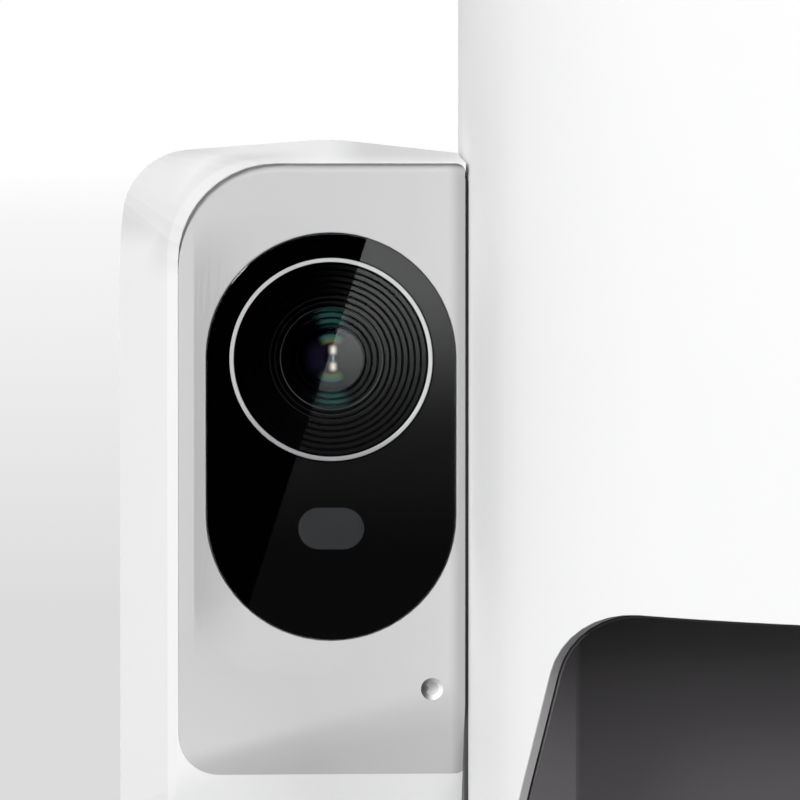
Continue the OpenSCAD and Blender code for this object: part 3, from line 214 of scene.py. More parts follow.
class Finish:
    """One material. Numbers and colours go straight to its shader, patterns come by nodes."""

    def __init__(self, name, **constants):
        self.material = bpy.data.materials.new(name)
        self.material.use_nodes = True
        self.tree = self.material.node_tree
        self.shader = self.tree.nodes["Principled BSDF"]
        for socket, value in constants.items():
            self.feed(self.shader.inputs[socket.replace("_", " ")], value)

    def feed(self, socket, value):
        if isinstance(value, Wire):
            self.tree.links.new(value.socket, socket)
        elif socket.type == "RGBA" and len(value) == 3:
            socket.default_value = (*value, 1)
        else:
            socket.default_value = value

    def node(self, kind, settings=None, values=None, out=0):
        """Adds any node: its settings or ramp stops first, then its sockets' values or links."""
        made = self.tree.nodes.new(kind)
        for name, value in (settings or {}).items():
            if name == "stops":
                ramp = made.color_ramp
                while len(ramp.elements) < len(value):
                    ramp.elements.new(0.5)
                for element, (place, colour) in zip(ramp.elements, value):
                    element.position = place
                    element.color = (*colour, 1)
            else:
                setattr(made, name, value)
        for name, value in (values or {}).items():
            self.feed(made.inputs[name], value)
        return Wire(self, made.outputs[out])

    def set(self, socket, value):
        self.feed(self.shader.inputs[socket], value)

    def place(self):
        """The point on the object, in its own metres."""
        return self.node("ShaderNodeTexCoord", out="Object")

    def xyz(self, centre=(0, 0, 0)):
        """The point's three distances from a centre, in millimetres."""
        moved = self.node("ShaderNodeVectorMath", {"operation": "SUBTRACT"},
                          {0: self.place(), 1: centre})
        scaled = self.node("ShaderNodeVectorMath", {"operation": "SCALE"},
                           {0: moved, "Scale": 1 / MM})
        return [self.node("ShaderNodeSeparateXYZ", None, {0: scaled}, out=i) for i in range(3)]

    def noise(self, size_mm, detail=2, roughness=0.5, stretch=(1, 1, 1)):
        """Soft noise, 0 to 1, whose blobs are about that size."""
        spread = self.node("ShaderNodeVectorMath", {"operation": "MULTIPLY"},
                           {0: self.place(), 1: stretch})
        return self.node("ShaderNodeTexNoise", None,
                         {"Vector": spread, "Scale": 1 / (size_mm * MM), "Detail": detail,
                          "Roughness": roughness})

    def rings(self, radius, per_mm, detail):
        """Noise that changes only from ring to ring, as a lathe leaves it."""
        return self.node("ShaderNodeTexNoise", {"noise_dimensions": "1D"},
                         {"W": radius, "Scale": per_mm, "Detail": detail})

    def cells(self, size_mm):
        """Distance from the middles of cells of about that size."""
        return self.node("ShaderNodeTexVoronoi", None,
                         {"Vector": self.place(), "Scale": 1 / (size_mm * MM)}, out="Distance")

    def ramp(self, value, stops):
        return self.node("ShaderNodeValToRGB", {"stops": stops}, {0: value})

    def mix(self, amount, first, second):
        return self.node("ShaderNodeMix", {"data_type": "RGBA"},
                         {0: amount, 6: first, 7: second}, out=2)

    def bump(self, height, strength, depth_mm):
        """Raises the surface by a height pattern of 0 to 1."""
        self.set("Normal", self.node(
            "ShaderNodeBump", None,
            {"Height": height, "Strength": strength, "Distance": depth_mm * MM}))

    def mirror(self, head_on):
        """Share of light that thin glass mirrors, the same from both of its sides."""
        slant = self.node("ShaderNodeLayerWeight", None, {"Blend": 0.5}, out=1)
        return head_on + (1 - head_on) * slant ** 5

    def show(self, shader):
        """Makes another shader the surface."""
        self.tree.links.new(shader.socket, self.tree.nodes["Material Output"].inputs["Surface"])

    def clear(self, colour):
        """A shader that only lets light through."""
        return self.node("ShaderNodeBsdfTransparent", None, {"Color": colour})

    def over(self, share, under):
        """Lays the finish's own shader over a share of another one."""
        own = Wire(self, self.shader.outputs[0])
        self.show(self.node("ShaderNodeMixShader", None, {0: share, 1: under, 2: own}))


def shade(colour, factor):
    """A colour made lighter or darker."""
    return tuple(min(1.0, c * factor) for c in colour)


def reach(first, second):
    """Distance from an axis, worked out from the distances along two directions square to it."""
    return (first * first + second * second).root()


# Finishes

BLACK = (0.0, 0.0, 0.0)


def moulded(name, colour, roughness, grain_mm, grain, drift, coat=0.0, specular=0.5,
            painted_shade=None):
    """Moulded plastic: a faint drift of tone, a fine spark grain and a little uneven gloss.
    The function given as toned tells where painted shade darkens its colour, as 0 to 1."""
    finish = Finish(name, IOR=1.49, Coat_Weight=coat, Coat_Roughness=0.08,
                    Specular_IOR_Level=specular)
    drifting = finish.noise(38, 2)
    plain = finish.mix(drifting, shade(colour, 1 - drift), shade(colour, 1 + drift / 2))
    # painted shade: the colour is darkened where the toned function says
    if painted_shade:
        plain = finish.mix(painted_shade(finish), plain, BLACK)
    finish.set("Base Color", plain)
    finish.set("Roughness", roughness + 0.05 * (finish.noise(9, 3) - 0.5))
    finish.bump(finish.noise(grain_mm, 3, 0.6), grain, 0.05)
    return finish.material


def plate_painted_shade(finish):
    """Painted shade: the plate is darkened down its dish, round its right edge and over its
    falling foot, where those slopes turn from the light.
    """
    x, _, z = finish.xyz(PLATE_LOW)
    tall = (PLATE_HIGH.z - PLATE_LOW.z) / MM
    wide = (PLATE_HIGH.x - PLATE_LOW.x) / MM
    dish = 0.15 * x.step(1.75, 1.95) * x.step(9.5, 1.9) * z.band(22, tall - 14, 9)
    right_edge = 0.23 * x.step(wide - 2.2, wide - 0.5)
    above_crease = z - 1.2 - 0.268 * x
    foot = (0.05 + 0.11 * x.step(24, 6)) * above_crease.step(1.2, -1.4)
    return dish.most(right_edge).most(foot)


def dimple_painted_shade(finish):
    """Painted shade on the dimple's side towards the light, where its wall turns away from it."""
    x, _, _ = finish.xyz(middle("microphone"))
    return 0.9 * x.step(0.5, -1.1)


def pod_painted_shade(finish):
    """Painted shade: the pod's white is greyed over its upper left corner, along the front edge
    there, and beyond its ridge."""
    x, y, z = finish.xyz(POD_LOW)
    tall = (POD_HIGH.z - POD_LOW.z) / MM
    corner = 0.2 * z.step(tall - 15, tall - 9) * x.step(15, 6)
    front_edge = 0.2 * y.step(12, 3) * z.step(tall - 18, tall - 10) * x.step(26, 13)
    beyond_ridge = 0.24 * z.step(tall - 4, tall - 1.5) * x.step(25, 31)
    return corner.most(beyond_ridge).most(front_edge)


def housing_painted_shade(finish):
    """Painted shade: the cut edge round the bay is darkened to a grey, and the wall close by the
    pod gets a painted shadow.
    """
    x, y, above = finish.xyz(BAY_EDGE)
    inside_wall = reach(x, y).step(BODY_R - 0.07, BODY_R - 0.2)
    cut_edge = 0.38 * inside_wall * above.step(4.2, 2.2)
    by_pod = 0.12 * x.step(-82, -88) * above.step(87.2, 37.2)
    return cut_edge.most(by_pod)


def liner_painted_shade(finish):
    """Painted shade: the bay's back wall is darkened as deep shade, most under its top edge, and
    its side walls a little lower down.
    """
    x, _, above = finish.xyz(BAY_EDGE)
    back = x.size().step(BAY_BACK_HALF + 0.5, BAY_BACK_HALF - 0.5)
    back_tone = 0.42 + 0.47 * above.step(-11.8, -1.3)
    side_tone = 0.1 * above.step(-10.8, -24.8)
    return back * back_tone + (1 - back) * side_tone


def bare_metal(name, colour, roughness, stretch):
    """Metal with fine lines drawn out along one direction."""
    finish = Finish(name, Metallic=1.0)
    lines = finish.noise(0.25, 4, 0.65, stretch)
    finish.set("Base Color", finish.mix(lines, shade(colour, 0.86), shade(colour, 1.06)))
    finish.set("Roughness", roughness + 0.14 * (lines - 0.5))
    finish.bump(lines, 0.25, 0.02)
    return finish.material


def turned_metal(name, colour, roughness, centre):
    """Metal turned on a lathe: its fine rings run round an upright axis."""
    finish = Finish(name, Metallic=1.0)
    x, y, _ = finish.xyz(centre)
    rings = finish.rings(reach(x, y), 9, 3)
    finish.set("Base Color", finish.mix(rings, shade(colour, 0.88), shade(colour, 1.05)))
    finish.set("Roughness", roughness + 0.12 * (rings - 0.5))
    finish.bump(rings, 0.3, 0.02)
    return finish.material


def soft_rubber(name, colour):
    """Rubber with a dusty, slightly pitted skin."""
    finish = Finish(name, IOR=1.5, Sheen_Weight=0.15, Sheen_Roughness=0.5)
    dust = finish.noise(5, 4, 0.6)
    finish.set("Base Color", finish.mix(dust, shade(colour, 0.8), shade(colour, 1.25)))
    finish.set("Roughness", 0.72 + 0.12 * (dust - 0.5))
    finish.bump(finish.noise(0.35, 2), 0.3, 0.06)
    return finish.material


def circuit_board(name, colour):
    """Solder mask with the copper's tracks just showing through."""
    finish = Finish(name, IOR=1.5, Coat_Weight=0.4, Coat_Roughness=0.1)
    x, _, z = finish.xyz()
    wander = 0.5 * finish.noise(14, 1)
    upright, level = [((place / pitch + wander).remainder(1.0) - 0.5).size().step(0.2, 0.14)
                      for place, pitch in ((x, 2.4), (z, 2.8))]
    patches = finish.noise(11, 0).step(0.48, 0.52)
    tracks = upright * patches + level * (1 - patches)
    finish.set("Base Color", finish.mix(0.8 * tracks, colour, shade(colour, 1.9)))
    finish.set("Roughness", 0.36 + 0.06 * finish.noise(3, 2))
    finish.bump(tracks, 0.4, 0.035)
    return finish.material


def window_print(name, colour):
    """Black print on the back of the window: bonded to it, so it has no gloss of its own."""
    finish = Finish(name, IOR=1.0, Roughness=0.6)
    thin = finish.noise(1.8, 3)
    finish.set("Base Color", finish.mix(thin, colour, shade(colour, 1.5)))
    return finish.material


def ring_satin(name):
    """Satin ring round the lens: turned rings, with painted shade darkening its foot, where it
    faces the floor.
    """
    finish = Finish(name, IOR=1.5, Specular_IOR_Level=0.2)
    x, _, z = finish.xyz(LENS)
    rings = finish.rings(reach(x, z), 14, 2)
    # painted shade: the lower side of the ring is darkened in its colour
    foot = (z + 0.15 * x).step(-4, -13)
    bright = finish.mix(rings, (0.69, 0.675, 0.675), (0.74, 0.725, 0.725))
    finish.set("Base Color", finish.mix(foot, bright, (0.39, 0.375, 0.385)))
    finish.set("Roughness", 0.42 + 0.1 * (rings - 0.5))
    finish.bump(rings, 0.2, 0.01)
    return finish.material


def window_clear(name):
    """Clear window. It mirrors a little all round the lens. Before the baffle a painted reflection
    lays rings over that, and before the lens's own disc a painted reflection makes it mirror most."""
    finish = Finish(name, Metallic=1.0, Roughness=0.006, Base_Color=(1, 1, 1))
    x, _, z = finish.xyz(LENS)
    radius = reach(x, z)
    # painted reflection: the mirror is raised in rings before the baffle and most before the
    # lens's disc
    rings = baffle_phase(radius).band(0.03, 0.55, 0.06) * radius.band(LENS_DISC_R, BAFFLE_RIM, 0.1)
    disc = radius.step(LENS_DISC_R, LENS_DISC_R - 0.3)
    outside = radius.step(BAFFLE_RIM + 0.1, BAFFLE_RIM + 0.4)
    strength = 0.1 + 0.62 * rings + 1.25 * disc + 0.9 * outside
    finish.over(finish.mirror(0.04) * strength, finish.clear((0.97, 0.98, 0.98)))
    return finish.material


def coated_glass(name):
    """Lens elements: the flat front one is clear, the ones behind have a deep blue coat."""
    finish = Finish(name, Metallic=1.0, Roughness=0.02)
    _, y, _ = finish.xyz((0, BARREL_FRONT, 0))
    behind = y.step(0.8, 1.2)
    finish.set("Base Color", finish.mix(behind, (1, 1, 1), (0.10, 0.16, 0.42)))
    finish.over(finish.mirror(0.07), finish.clear((0.75, 0.86, 0.88)))
    return finish.material


def baffle_phase(radius):
    """How far a radius is from one tread of the baffle to the next, 0 to 1."""
    return ((radius - BAFFLE_BORE) / BAFFLE_PITCH).remainder(1.0)


def baffle_black(name):
    """Stepped baffle: its flat treads are polished black, its risers and back are dead black,
    and three faint rings of painted highlight stand in for glints on its edges."""
    finish = Finish(name, IOR=1.3, Roughness=0.05, Base_Color=(0.0008, 0.0008, 0.0009))
    x, _, z = finish.xyz(LENS)
    radius = reach(x, z)
    tread = baffle_phase(radius).band(0.03, 0.55, 0.04)
    # painted highlights: three faint lighter rings stand in for glints on the baffle's edges
    faint = radius.band(6.12, 6.24, 0.05)
    for ring in (6.84, 7.44):
        faint = faint.most(0.4 * radius.band(ring - 0.05, ring + 0.05, 0.05))
    worn = finish.noise(0.8, 3)
    dead = finish.mix(worn, (0.0012, 0.0012, 0.0013), (0.0025, 0.0025, 0.0027))
    matt = finish.node("ShaderNodeBsdfDiffuse", None, {
        "Color": finish.mix(faint, dead, (0.06, 0.06, 0.062))})
    finish.over(tread * (1 - faint), matt)
    return finish.material


def lens_painted_reflections(name):
    """Painted reflections and highlights on the lens's front glass, glowing by emission: two
    striped teal fans, rainbow arcs and bright bars.
    """
    finish = Finish(name, IOR=1.3, Roughness=0.05, Base_Color=(0.002, 0.002, 0.004),
                    Emission_Strength=1.0)
    x, _, z = finish.xyz(LENS)
    radius = reach(x, z)
    upright = z.size()
    lean = (x - 0.1).size() / (upright + 0.2)
    stripes = 0.3 + 0.7 * baffle_phase(radius).band(0.1, 0.5, 0.2)
    teal = lean.step(0.6, 0.1) * radius.band(4.3, 5.6, 0.9) * stripes
    arcs = lean.step(0.9, 0.25) * radius.band(2.1, 2.7, 0.5)
    halo = (x + 1.3).size().step(2.8, 0.4) * radius.band(1.2, 3.0, 1.0) * upright.step(3.0, 0.6)
    across = (x - 0.2).size()
    bars = across.step(0.75, 0.0) * upright.band(0.85, 1.15, 0.75)
    tips = across.step(0.3, 0.0) * upright.step(0.8, 0.0)
    rainbow = finish.ramp((radius - 1.5) / 2, [
        (0.0, (0.13, 0.075, 0.03)), (0.3, (0.10, 0.11, 0.05)), (0.55, (0.035, 0.11, 0.07)),
        (0.8, (0.02, 0.05, 0.12)), (1.0, (0.04, 0.02, 0.08))])
    glow = finish.mix(halo, BLACK, (0.006, 0.005, 0.014))
    glow = finish.mix(teal, glow, (0.006, 0.050, 0.044))
    glow = finish.mix(arcs, glow, rainbow)
    glow = finish.mix(tips, glow, (0.22, 0.30, 0.42))
    glow = finish.mix(bars, glow, (0.80, 0.76, 0.65))
    # painted reflections and highlights: these colours glow as emission
    finish.set("Emission Color", glow)
    share = (0.7 * teal).most(0.8 * arcs).most(0.5 * halo).most(tips).most(bars)
    finish.over(share, finish.clear((0.97, 0.97, 0.98)))
    return finish.material


def cell_sleeve(name):
    """Printed foil round a battery cell: plain bands and no words, with bare metal ends."""
    finish = Finish(name, IOR=1.5, Coat_Weight=0.7, Coat_Roughness=0.12)
    _, _, z = finish.xyz((0, 0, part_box("battery_cells")[0].z))
    copper_band = z.step(47.4, 47.6)
    metal_end = z.step(59.2, 59.4).most(z.step(1.1, 0.9))
    foil = finish.mix(copper_band, (0.012, 0.012, 0.014), (0.62, 0.33, 0.09))
    finish.set("Base Color", finish.mix(metal_end, foil, (0.66, 0.66, 0.66)))
    finish.set("Metallic", (0.35 + 0.6 * metal_end) * (0.3 + 0.7 * copper_band.most(metal_end)))
    finish.set("Roughness", 0.3 + 0.08 * finish.noise(6, 3))
    finish.bump(finish.noise(1.2, 2), 0.1, 0.05)
    return finish.material


def liner_plastic(name):
    """Matt dark grey of the bay, with the fine leather-like grain of such liners."""
    colour = tuple(colours().liner)
    finish = Finish(name, IOR=1.46)
    drifting = finish.noise(45, 2)
    plain = finish.mix(drifting, shade(colour, 1.16), shade(colour, 1.28))
    # painted shade over the back wall and the lower side walls
    finish.set("Base Color", finish.mix(liner_painted_shade(finish), plain, BLACK))
    finish.set("Roughness", 0.56 + 0.08 * (finish.noise(4, 3) - 0.5))
    finish.bump(finish.cells(0.7), 0.12, 0.06)
    return finish.material


def make_finishes():
    """Every material of the feeder, by the record's slot name or by a node's or piece's name."""
    pick = colours()
    shell, plate = tuple(pick.shell), tuple(pick.plate)
    natural, mask = tuple(pick.natural), tuple(pick.mask)
    steel = (0.62, 0.62, 0.63)
    return {
        "white_plastic": moulded(
            "shell_white", shell, 0.5, 0.5, 0.05, 0.012, specular=0.2, painted_shade=housing_painted_shade),
        "plate_plastic": moulded(
            "plate_grey", plate, 0.5, 0.35, 0.1, 0.015, specular=0.2, painted_shade=plate_painted_shade),
        "liner_plastic": liner_plastic("liner_grey"),
        "black_gloss": window_print("print_black", mask),
        "window_clear": window_clear("window_clear"),
        "lens_glass": coated_glass("lens_coated"),
        "ring_metal": ring_satin("ring_satin"),
        "matt_black": moulded("matt_black", (0.010, 0.010, 0.011), 0.46, 0.3, 0.15, 0.1),
        "smoke_plastic": moulded("smoked_window", (0.026, 0.026, 0.028), 0.25, 0.4, 0.02, 0.0),
        "natural_plastic": moulded("natural_plastic", natural, 0.42, 0.6, 0.1, 0.03),
        "gear_plastic": moulded("gear_plastic", (0.80, 0.78, 0.71), 0.36, 0.4, 0.06, 0.02),
        "dark_plastic": moulded("dark_plastic", (0.085, 0.086, 0.09), 0.5, 0.4, 0.2, 0.05),
        "steel": bare_metal("steel_drawn", steel, 0.3, (1, 1, 0.03)),
        "brass": bare_metal("brass_drawn", (0.78, 0.60, 0.31), 0.28, (1, 1, 0.05)),
        "rubber": soft_rubber("rubber_dark", (0.028, 0.028, 0.03)),
        "silicone": soft_rubber("silicone_grey", (0.42, 0.43, 0.44)),
        "board_green": circuit_board("board_green", (0.018, 0.11, 0.05)),
        "cell_sleeve": cell_sleeve("cell_foil"),
        "lens_barrel": baffle_black("barrel_black"),
        # painted light: the dimple's grey is the plate's grey made lighter for its lit wall, with
        # painted shade on its other side
        "mic_dimple": moulded(
            "dimple_painted_light_and_shade", shade(plate, 1.4), 0.5, 0.35, 0.1, 0.015, painted_shade=dimple_painted_shade),
        "light_plastic": moulded("light_guide", (0.88, 0.89, 0.90), 0.22, 0.5, 0.02, 0.0, 0.3),
        "bowl": turned_metal("bowl_spun", (0.66, 0.66, 0.66), 0.26, BOWL_AXIS),
        "lens_baffle": baffle_black("baffle_black"),
        "front_glass": lens_painted_reflections("lens_painted_reflections"),
        # painted light: the pod's white is the shell's white made a touch lighter, with painted
        # shade from pod_painted_shade
        "pod_shell": moulded(
            "pod_white", shade(shell, 1.03), 0.5, 0.5, 0.05, 0.012, specular=0.2, painted_shade=pod_painted_shade),
    }


def paint(node, material):
    """Gives a CAD node one material."""
    data = frame["nodes"][node].data
    data.materials.clear()
    data.materials.append(material)


def smooth(piece, angle):
    """Smooth shading, with edges kept where the faces turn by more than an angle."""
    data = piece.data
    data.shade_smooth()
    data.set_sharp_from_angle(angle=math.radians(angle))


def add_piece(shape, name, body, slot, finish=None, angle=30):
    """Puts a finished shape into the scene as a piece that rides a body."""
    mesh = shape.build(name)
    mesh.materials.append(FINISHES[finish or slot])
    piece = bpy.data.objects.new(name, mesh)
    bpy.context.scene.collection.objects.link(piece)
    smooth(piece, angle)
    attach(piece, body)
    return piece


class Shape:
    """Gathers the points and faces of one piece, given in millimetres, into a closed mesh."""

    def __init__(self):
        self.points = []
        self.faces = []

    def loft(self, loops, closed=False):
        """Skins loops of as many points each. The ends are capped unless it is closed."""
        first, count = len(self.points), len(loops[0])
        for loop in loops:
            self.points += [Vector(point) for point in loop]
        spans = len(loops) if closed else len(loops) - 1
        for i in range(spans):
            a, b = first + i * count, first + (i + 1) % len(loops) * count
            for j in range(count):
                k = (j + 1) % count
                self.faces.append((a + j, a + k, b + k, b + j))
        if not closed:
            last = first + (len(loops) - 1) * count
            self.faces.append(tuple(range(first, first + count)))
            self.faces.append(tuple(range(last, last + count)))

    def turn(self, profile, centre, axis, steps):
        """Turns (radius, along) points round the y or z axis through a centre in metres."""
        at = Vector(centre) / MM
        loops = []
        for radius, along in profile:
            loop = []
            for i in range(steps):
                a = 2 * math.pi * i / steps
                u, v = radius * math.cos(a), radius * math.sin(a)
                spot = {"y": (u, along, v), "z": (u, v, along)}[axis]
                loop.append(at + Vector(spot))
            loops.append(loop)
        self.loft(loops, True)

    def build(self, name):
        mesh = bpy.data.meshes.new(name)
        mesh.from_pydata([point * MM for point in self.points], [], self.faces)
        shape = bmesh.new()
        shape.from_mesh(mesh)
        bmesh.ops.recalc_face_normals(shape, faces=shape.faces)
        shape.to_mesh(mesh)
        shape.free()
        return mesh


def pill(centre, width, height, y, inset, steps=48):
    """Upright pill outline round a centre, in millimetres."""
    radius = width / 2 - inset
    rise = (height - width) / 2
    loop = []
    for i in range(2 * steps):
        a = math.pi * (i + 0.5) / steps
        end = rise if math.sin(a) > 0 else -rise
        loop.append((centre.x / MM + radius * math.cos(a), y,
                     centre.z / MM + end + radius * math.sin(a)))
    return loop


class FEEDER_OT_window(bpy.types.Operator):
    """Makes the window's pane with its eased edge, and the dimple under it"""

    bl_idname = "feeder.window"
    bl_label = "Window and dimple"

    def execute(self, context):
        low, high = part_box("window_glass")
        width, height = (high.x - low.x) / MM, (high.z - low.z) / MM
        front, back = low.y / MM, high.y / MM - 0.02
        pane = Shape()
        pane.loft([pill(WINDOW, width, height, y, inset) for inset, y in (
            (0.2, front), (0.08, front + 0.03), (0.02, front + 0.1), (0, front + 0.2),
            (0, back))])
        piece = add_piece(pane, "window_pane", "feeder", "window_clear", angle=12)
        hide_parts("window_glass")

        spot = middle("microphone")
        face = PLATE_LOW.y / MM
        cup = Shape()
        cup.turn([(1.34, 0.05), (1.22, 0.3), (1.0, 0.72), (0.7, 1.1), (0.35, 1.3), (0.02, 1.36),
                  (0.02, 1.7), (1.0, 1.6), (1.34, 1.3)],
                 (spot.x, face * MM, spot.z), "y", 48)
        add_piece(cup, "mic_dimple", "feeder", "plate_plastic", "mic_dimple", angle=60)
        return {"FINISHED"}


class FEEDER_OT_lens(bpy.types.Operator):
    """Makes the lens's rounded bezel and its front glass, which carries painted reflections"""

    bl_idname = "feeder.lens"
    bl_label = "Lens bezel and glass"

    def execute(self, context):
        low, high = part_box("lens_ring")
        outer = (high.x - low.x) / 2 / MM
        deep = (high.y - low.y) / MM
        inner = outer - 0.5
        bezel = Shape()
        bezel.turn([(inner, deep), (inner, 0.07), (inner + 0.05, 0.02), (outer - 0.05, 0.02),
                    (outer, 0.07), (outer, deep)],
                   (LENS.x, low.y, LENS.z), "y", 128)
        piece = add_piece(bezel, "lens_bezel", "feeder", "ring_metal", angle=20)
        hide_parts("lens_ring")

        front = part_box("lens_baffle")[0].y
        glass = Shape()
        glass.turn([(0.01, 4.42), (3.0, 4.44), (5.9, 4.5), (6.1, 4.58), (6.15, 4.7),
                    (6.1, 4.8), (0.01, 4.8)], (LENS.x, front, LENS.z), "y", 96)
        add_piece(glass, "front_glass", "feeder", "lens_glass", "front_glass")
        return {"FINISHED"}


class FEEDER_OT_small_parts(bpy.types.Operator):
    """Adds the screws' recesses and the bowl's rolled edge"""

    bl_idname = "feeder.small_parts"
    bl_label = "Small parts"

    def execute(self, context):
        self.add_recesses()
        self.add_rolled_edge()
        return {"FINISHED"}

    def add_recesses(self):
        """Cross recesses in the screws under the base."""
        data = frame["nodes"]["base_screws"].data
        lowest = min(vertex.co.z for vertex in data.vertices)
        heads = []
        for vertex in data.vertices:
            if vertex.co.z > lowest + 0.05 * MM:
                continue
            spot = Vector((vertex.co.x, vertex.co.y, 0))
            near = [head for head in heads if (head[0] - spot).length < 8 * MM]
            if near:
                near[0][1].append(spot)
            else:
                heads.append((spot, [spot]))
        shape = Shape()
        for _, spots in heads:
            x = (min(p.x for p in spots) + max(p.x for p in spots)) / 2 / MM
            y = (min(p.y for p in spots) + max(p.y for p in spots)) / 2 / MM
            outline = []
            for i in range(4):
                a = math.pi / 2 * i
                for u, v in ((1.5, -0.28), (1.5, 0.28), (0.4, 0.4)):
                    outline.append((x + u * math.cos(a) - v * math.sin(a),
                                    y + u * math.sin(a) + v * math.cos(a)))
            bottom = lowest / MM
            shape.loft([[(u, v, bottom + z) for u, v in outline] for z in (-0.02, 0.5)])
        add_piece(shape, "screw_recesses", "feeder", "matt_black")

    def add_rolled_edge(self):
        """The bowl's rim is rolled over into a bead."""
        low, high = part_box("bowl")
        radius = (high.x - low.x) / 2 / MM - 0.75
        bead = Shape()
        bead.turn([(radius + 0.7 * math.cos(a), -0.75 + 0.7 * math.sin(a))
                   for a in [math.pi * i / 8 for i in range(16)]],
                  (BOWL_AXIS.x, BOWL_AXIS.y, high.z), "z", 160)
        add_piece(bead, "bowl_bead", "bowl", "steel", "bowl", angle=40)


class FEEDER_OT_finishes(bpy.types.Operator):
    """Gives every node of the frame its finish"""

    bl_idname = "feeder.finishes"
    bl_label = "Finish the frame"

    def execute(self, context):
        FINISHES.update(make_finishes())
        for part in frame["record"]["subparts"]:
            paint(part["node"], FINISHES[part["material_slot"]])
        for node in ("bowl", "lens_baffle", "lens_barrel", "pod_shell"):
            paint(node, FINISHES[node])
        for node, angle in (("front_plate", 8), ("pod_shell", 38)):
            smooth(frame["nodes"][node], angle)
        return {"FINISHED"}


def light_path(tree, *rays):
    """1 for the given kinds of ray."""
    path = tree.nodes.new("ShaderNodeLightPath")
    total = None
    for ray in rays:
        if total is None:
            total = path.outputs[ray]
            continue
        join = tree.nodes.new("ShaderNodeMath")
        join.operation = "MAXIMUM"
        tree.links.new(total, join.inputs[0])
        tree.links.new(path.outputs[ray], join.inputs[1])
        total = join.outputs[0]
    return total


def floor_finish():
    """Pale floor: it takes shadows near by. Far behind the feeder it glows evenly instead, and
    there it fades to the room's white with its distance from the feeder."""
    finish = Finish("floor_pale", Roughness=0.7)
    bounce = Wire(finish, light_path(finish.tree, "Is Diffuse Ray"))
    finish.set("Base Color", finish.mix(bounce, (0.80, 0.80, 0.80), (0.12, 0.12, 0.12)))
    _, y, _ = finish.xyz()
    closeness = 800 / (y + 800)
    fade = [(0.0, 1.0), (0.034, 0.92), (0.26, 0.715)]
    far_tone = finish.ramp(closeness, [(at, (v, v, v)) for at, v in fade])
    seen = Wire(finish, light_path(finish.tree, "Is Camera Ray", "Is Glossy Ray"))
    glow = finish.node("ShaderNodeEmission", None, {"Color": far_tone, "Strength": 1.0})
    far = y.step(500, 1200)
    finish.over(1 - seen * far, glow)
    return finish.material


def area_lamp(name, aim, away, size, power, shape="SQUARE", size_y=None):
    """A soft lamp at a distance from the point that it shines on."""
    data = bpy.data.lights.new(name, "AREA")
    data.shape = shape
    data.size = size
    if size_y:
        data.size_y = size_y
    data.energy = power
    lamp = bpy.data.objects.new(name, data)
    bpy.context.scene.collection.objects.link(lamp)
    lamp.location = aim + away
    lamp.rotation_euler = (-away).to_track_quat("-Z", "Y").to_euler()


def card(name, corners, material):
    """A flat card that only glossy surfaces see."""
    mesh = bpy.data.meshes.new(name)
    mesh.from_pydata(corners, [], [tuple(range(len(corners)))])
    mesh.materials.append(material)
    piece = bpy.data.objects.new(name, mesh)
    bpy.context.scene.collection.objects.link(piece)
    piece.visible_camera = False
    piece.visible_diffuse = False
    piece.visible_shadow = False
    piece.visible_transmission = False


def glow_finish(name, grey):
    """A plain light of one grey."""
    material = bpy.data.materials.new(name)
    material.use_nodes = True
    tree = material.node_tree
    tree.nodes.clear()
    glow = tree.nodes.new("ShaderNodeEmission")
    glow.inputs["Color"].default_value = (grey, grey, grey, 1)
    out = tree.nodes.new("ShaderNodeOutputMaterial")
    tree.links.new(glow.outputs[0], out.inputs["Surface"])
    return material


def glare_finish():
    """The window mirrors this card: it is bright at its top and fades out downwards."""
    finish = Finish("card_glare")
    _, _, z = finish.xyz()
    tone = 0.03 + 0.06 * z.step(87, 125) + 0.91 * z.step(108, 172) ** 2
    finish.show(finish.node("ShaderNodeEmission", None, {"Color": tone, "Strength": 1.2}))
    return finish.material


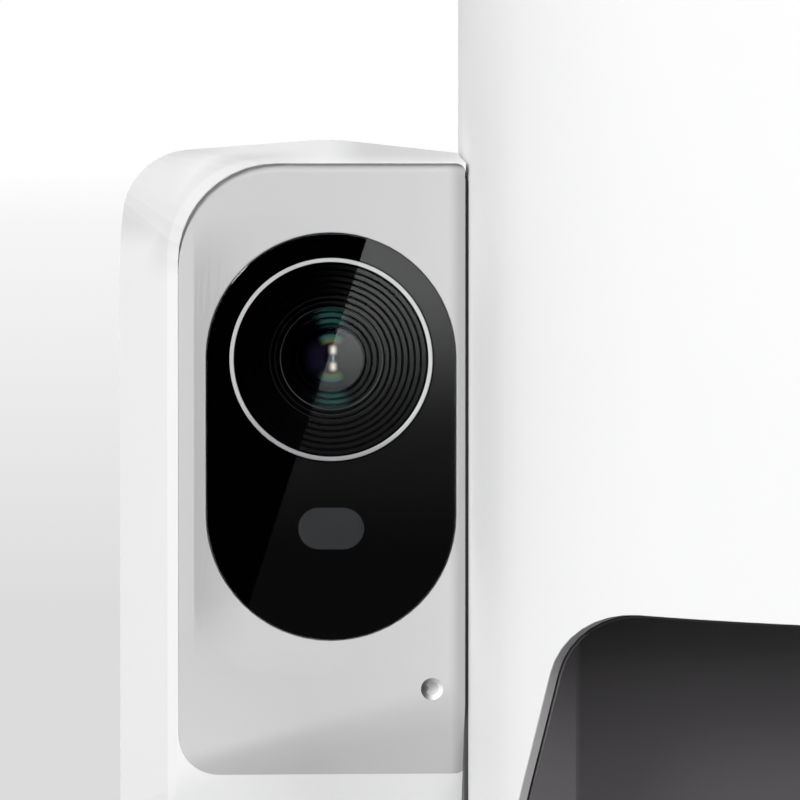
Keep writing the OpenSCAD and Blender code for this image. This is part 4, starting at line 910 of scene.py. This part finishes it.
class FEEDER_OT_stage(bpy.types.Operator):
    """Builds the floor, the room's light, the lamps, the cards and the camera"""

    bl_idname = "feeder.stage"
    bl_label = "Build the studio"

    def execute(self, context):
        self.build_floor()
        self.build_room()
        self.build_lamps()
        self.build_cards()
        self.build_camera(context)
        return {"FINISHED"}

    def build_floor(self):
        mesh = bpy.data.meshes.new("floor")
        shape = bmesh.new()
        bmesh.ops.create_circle(shape, cap_ends=True, segments=96, radius=studio().floor_r)
        shape.to_mesh(mesh)
        shape.free()
        mesh.materials.append(floor_finish())
        floor = bpy.data.objects.new("floor", mesh)
        bpy.context.scene.collection.objects.link(floor)

    def build_room(self):
        world = bpy.data.worlds.new("room")
        bpy.context.scene.world = world
        world.use_nodes = True
        tree = world.node_tree
        back = tree.nodes["Background"]
        back.inputs["Color"].default_value = (1, 1, 1, 1)
        seen = light_path(tree, "Is Camera Ray", "Is Glossy Ray", "Is Transmission Ray")
        level = tree.nodes.new("ShaderNodeMapRange")
        tree.links.new(seen, level.inputs["Value"])
        level.inputs["To Min"].default_value = studio().room
        level.inputs["To Max"].default_value = 1
        tree.links.new(level.outputs[0], back.inputs["Strength"])

    def build_lamps(self):
        """A soft key from the camera's upper left, a low fill from its right and a rear lamp."""
        sizes = studio()
        pod = middle("pod_shell")
        body = BODY_AXIS + Vector((0, 0, 0.12))
        area_lamp("key", pod, 2.2 * Vector((-0.52, -0.66, 0.54)), 1.3, sizes.key)
        area_lamp("fill", body, 1.3 * Vector((0.811, -0.568, 0.139)), 0.5, sizes.fill,
                  "RECTANGLE", 0.16)
        area_lamp("rear", body, 2.2 * Vector((0.42, 0.90, 0.10)), 1.3, sizes.rear)

    def build_cards(self):
        """A dark card keeps the window black, a grey one behind the feeder draws its edges, and
        a bright one with a leaning left side gives the window its glare."""
        for name, grey, left, right, y, low, high in (
                ("card_dark", 0.0, -0.42, 0.24, -1.3, -0.1, 0.36),
                ("card_back", 0.25, -3.5, 3.5, 2.5, 0, 2.2)):
            corners = [(left, y, low), (right, y, low), (right, y, high), (left, y, high)]
            card(name, corners, glow_finish(name, grey))
        leaning = [(-146.5, 60), (-50, 60), (-50, 215), (-96.4, 215)]
        card("card_glare", [BODY_AXIS + Vector((x, -1200, z)) * MM for x, z in leaning],
             glare_finish())

    def build_camera(self, context):
        sizes = studio()
        data = bpy.data.cameras.new("camera")
        data.lens = sizes.lens
        data.sensor_width = 36
        data.clip_start = 0.05
        data.clip_end = 400
        camera = bpy.data.objects.new("camera", data)
        context.scene.collection.objects.link(camera)
        away = Vector((0, -math.cos(sizes.elevation), math.sin(sizes.elevation)))
        camera.location = VIEW_AIM + away * sizes.distance
        camera.rotation_euler = (-away).to_track_quat("-Z", "Y").to_euler()
        context.scene.camera = camera


class FEEDER_PT_panel(bpy.types.Panel):
    """Lists the feeder's steps"""

    bl_idname = "FEEDER_PT_panel"
    bl_label = "Feeder"
    bl_space_type = "VIEW_3D"
    bl_region_type = "UI"
    bl_category = "Feeder"

    def draw(self, context):
        for group in (context.scene.feeder_colours, context.scene.feeder_studio):
            for name in group.bl_rna.properties.keys():
                if name not in ("name", "rna_type"):
                    self.layout.prop(group, name)
        for step in STEPS:
            self.layout.operator(step.bl_idname)


GROUPS = (FeederColours, FeederStudio)
STEPS = (FEEDER_OT_finishes, FEEDER_OT_window, FEEDER_OT_lens, FEEDER_OT_small_parts,
         FEEDER_OT_stage)


def register():
    for kind in (*GROUPS, *STEPS, FEEDER_PT_panel):
        bpy.utils.register_class(kind)
    bpy.types.Scene.feeder_colours = PointerProperty(type=FeederColours)
    bpy.types.Scene.feeder_studio = PointerProperty(type=FeederStudio)


def unregister():
    del bpy.types.Scene.feeder_colours
    del bpy.types.Scene.feeder_studio
    for kind in reversed((*GROUPS, *STEPS, FEEDER_PT_panel)):
        bpy.utils.unregister_class(kind)


def main():
    register()
    for step in STEPS:
        group, name = step.bl_idname.split(".")
        getattr(getattr(bpy.ops, group), name)()
    bpy.context.scene.view_settings.view_transform = "Standard"


if __name__ == "__main__":
    main()
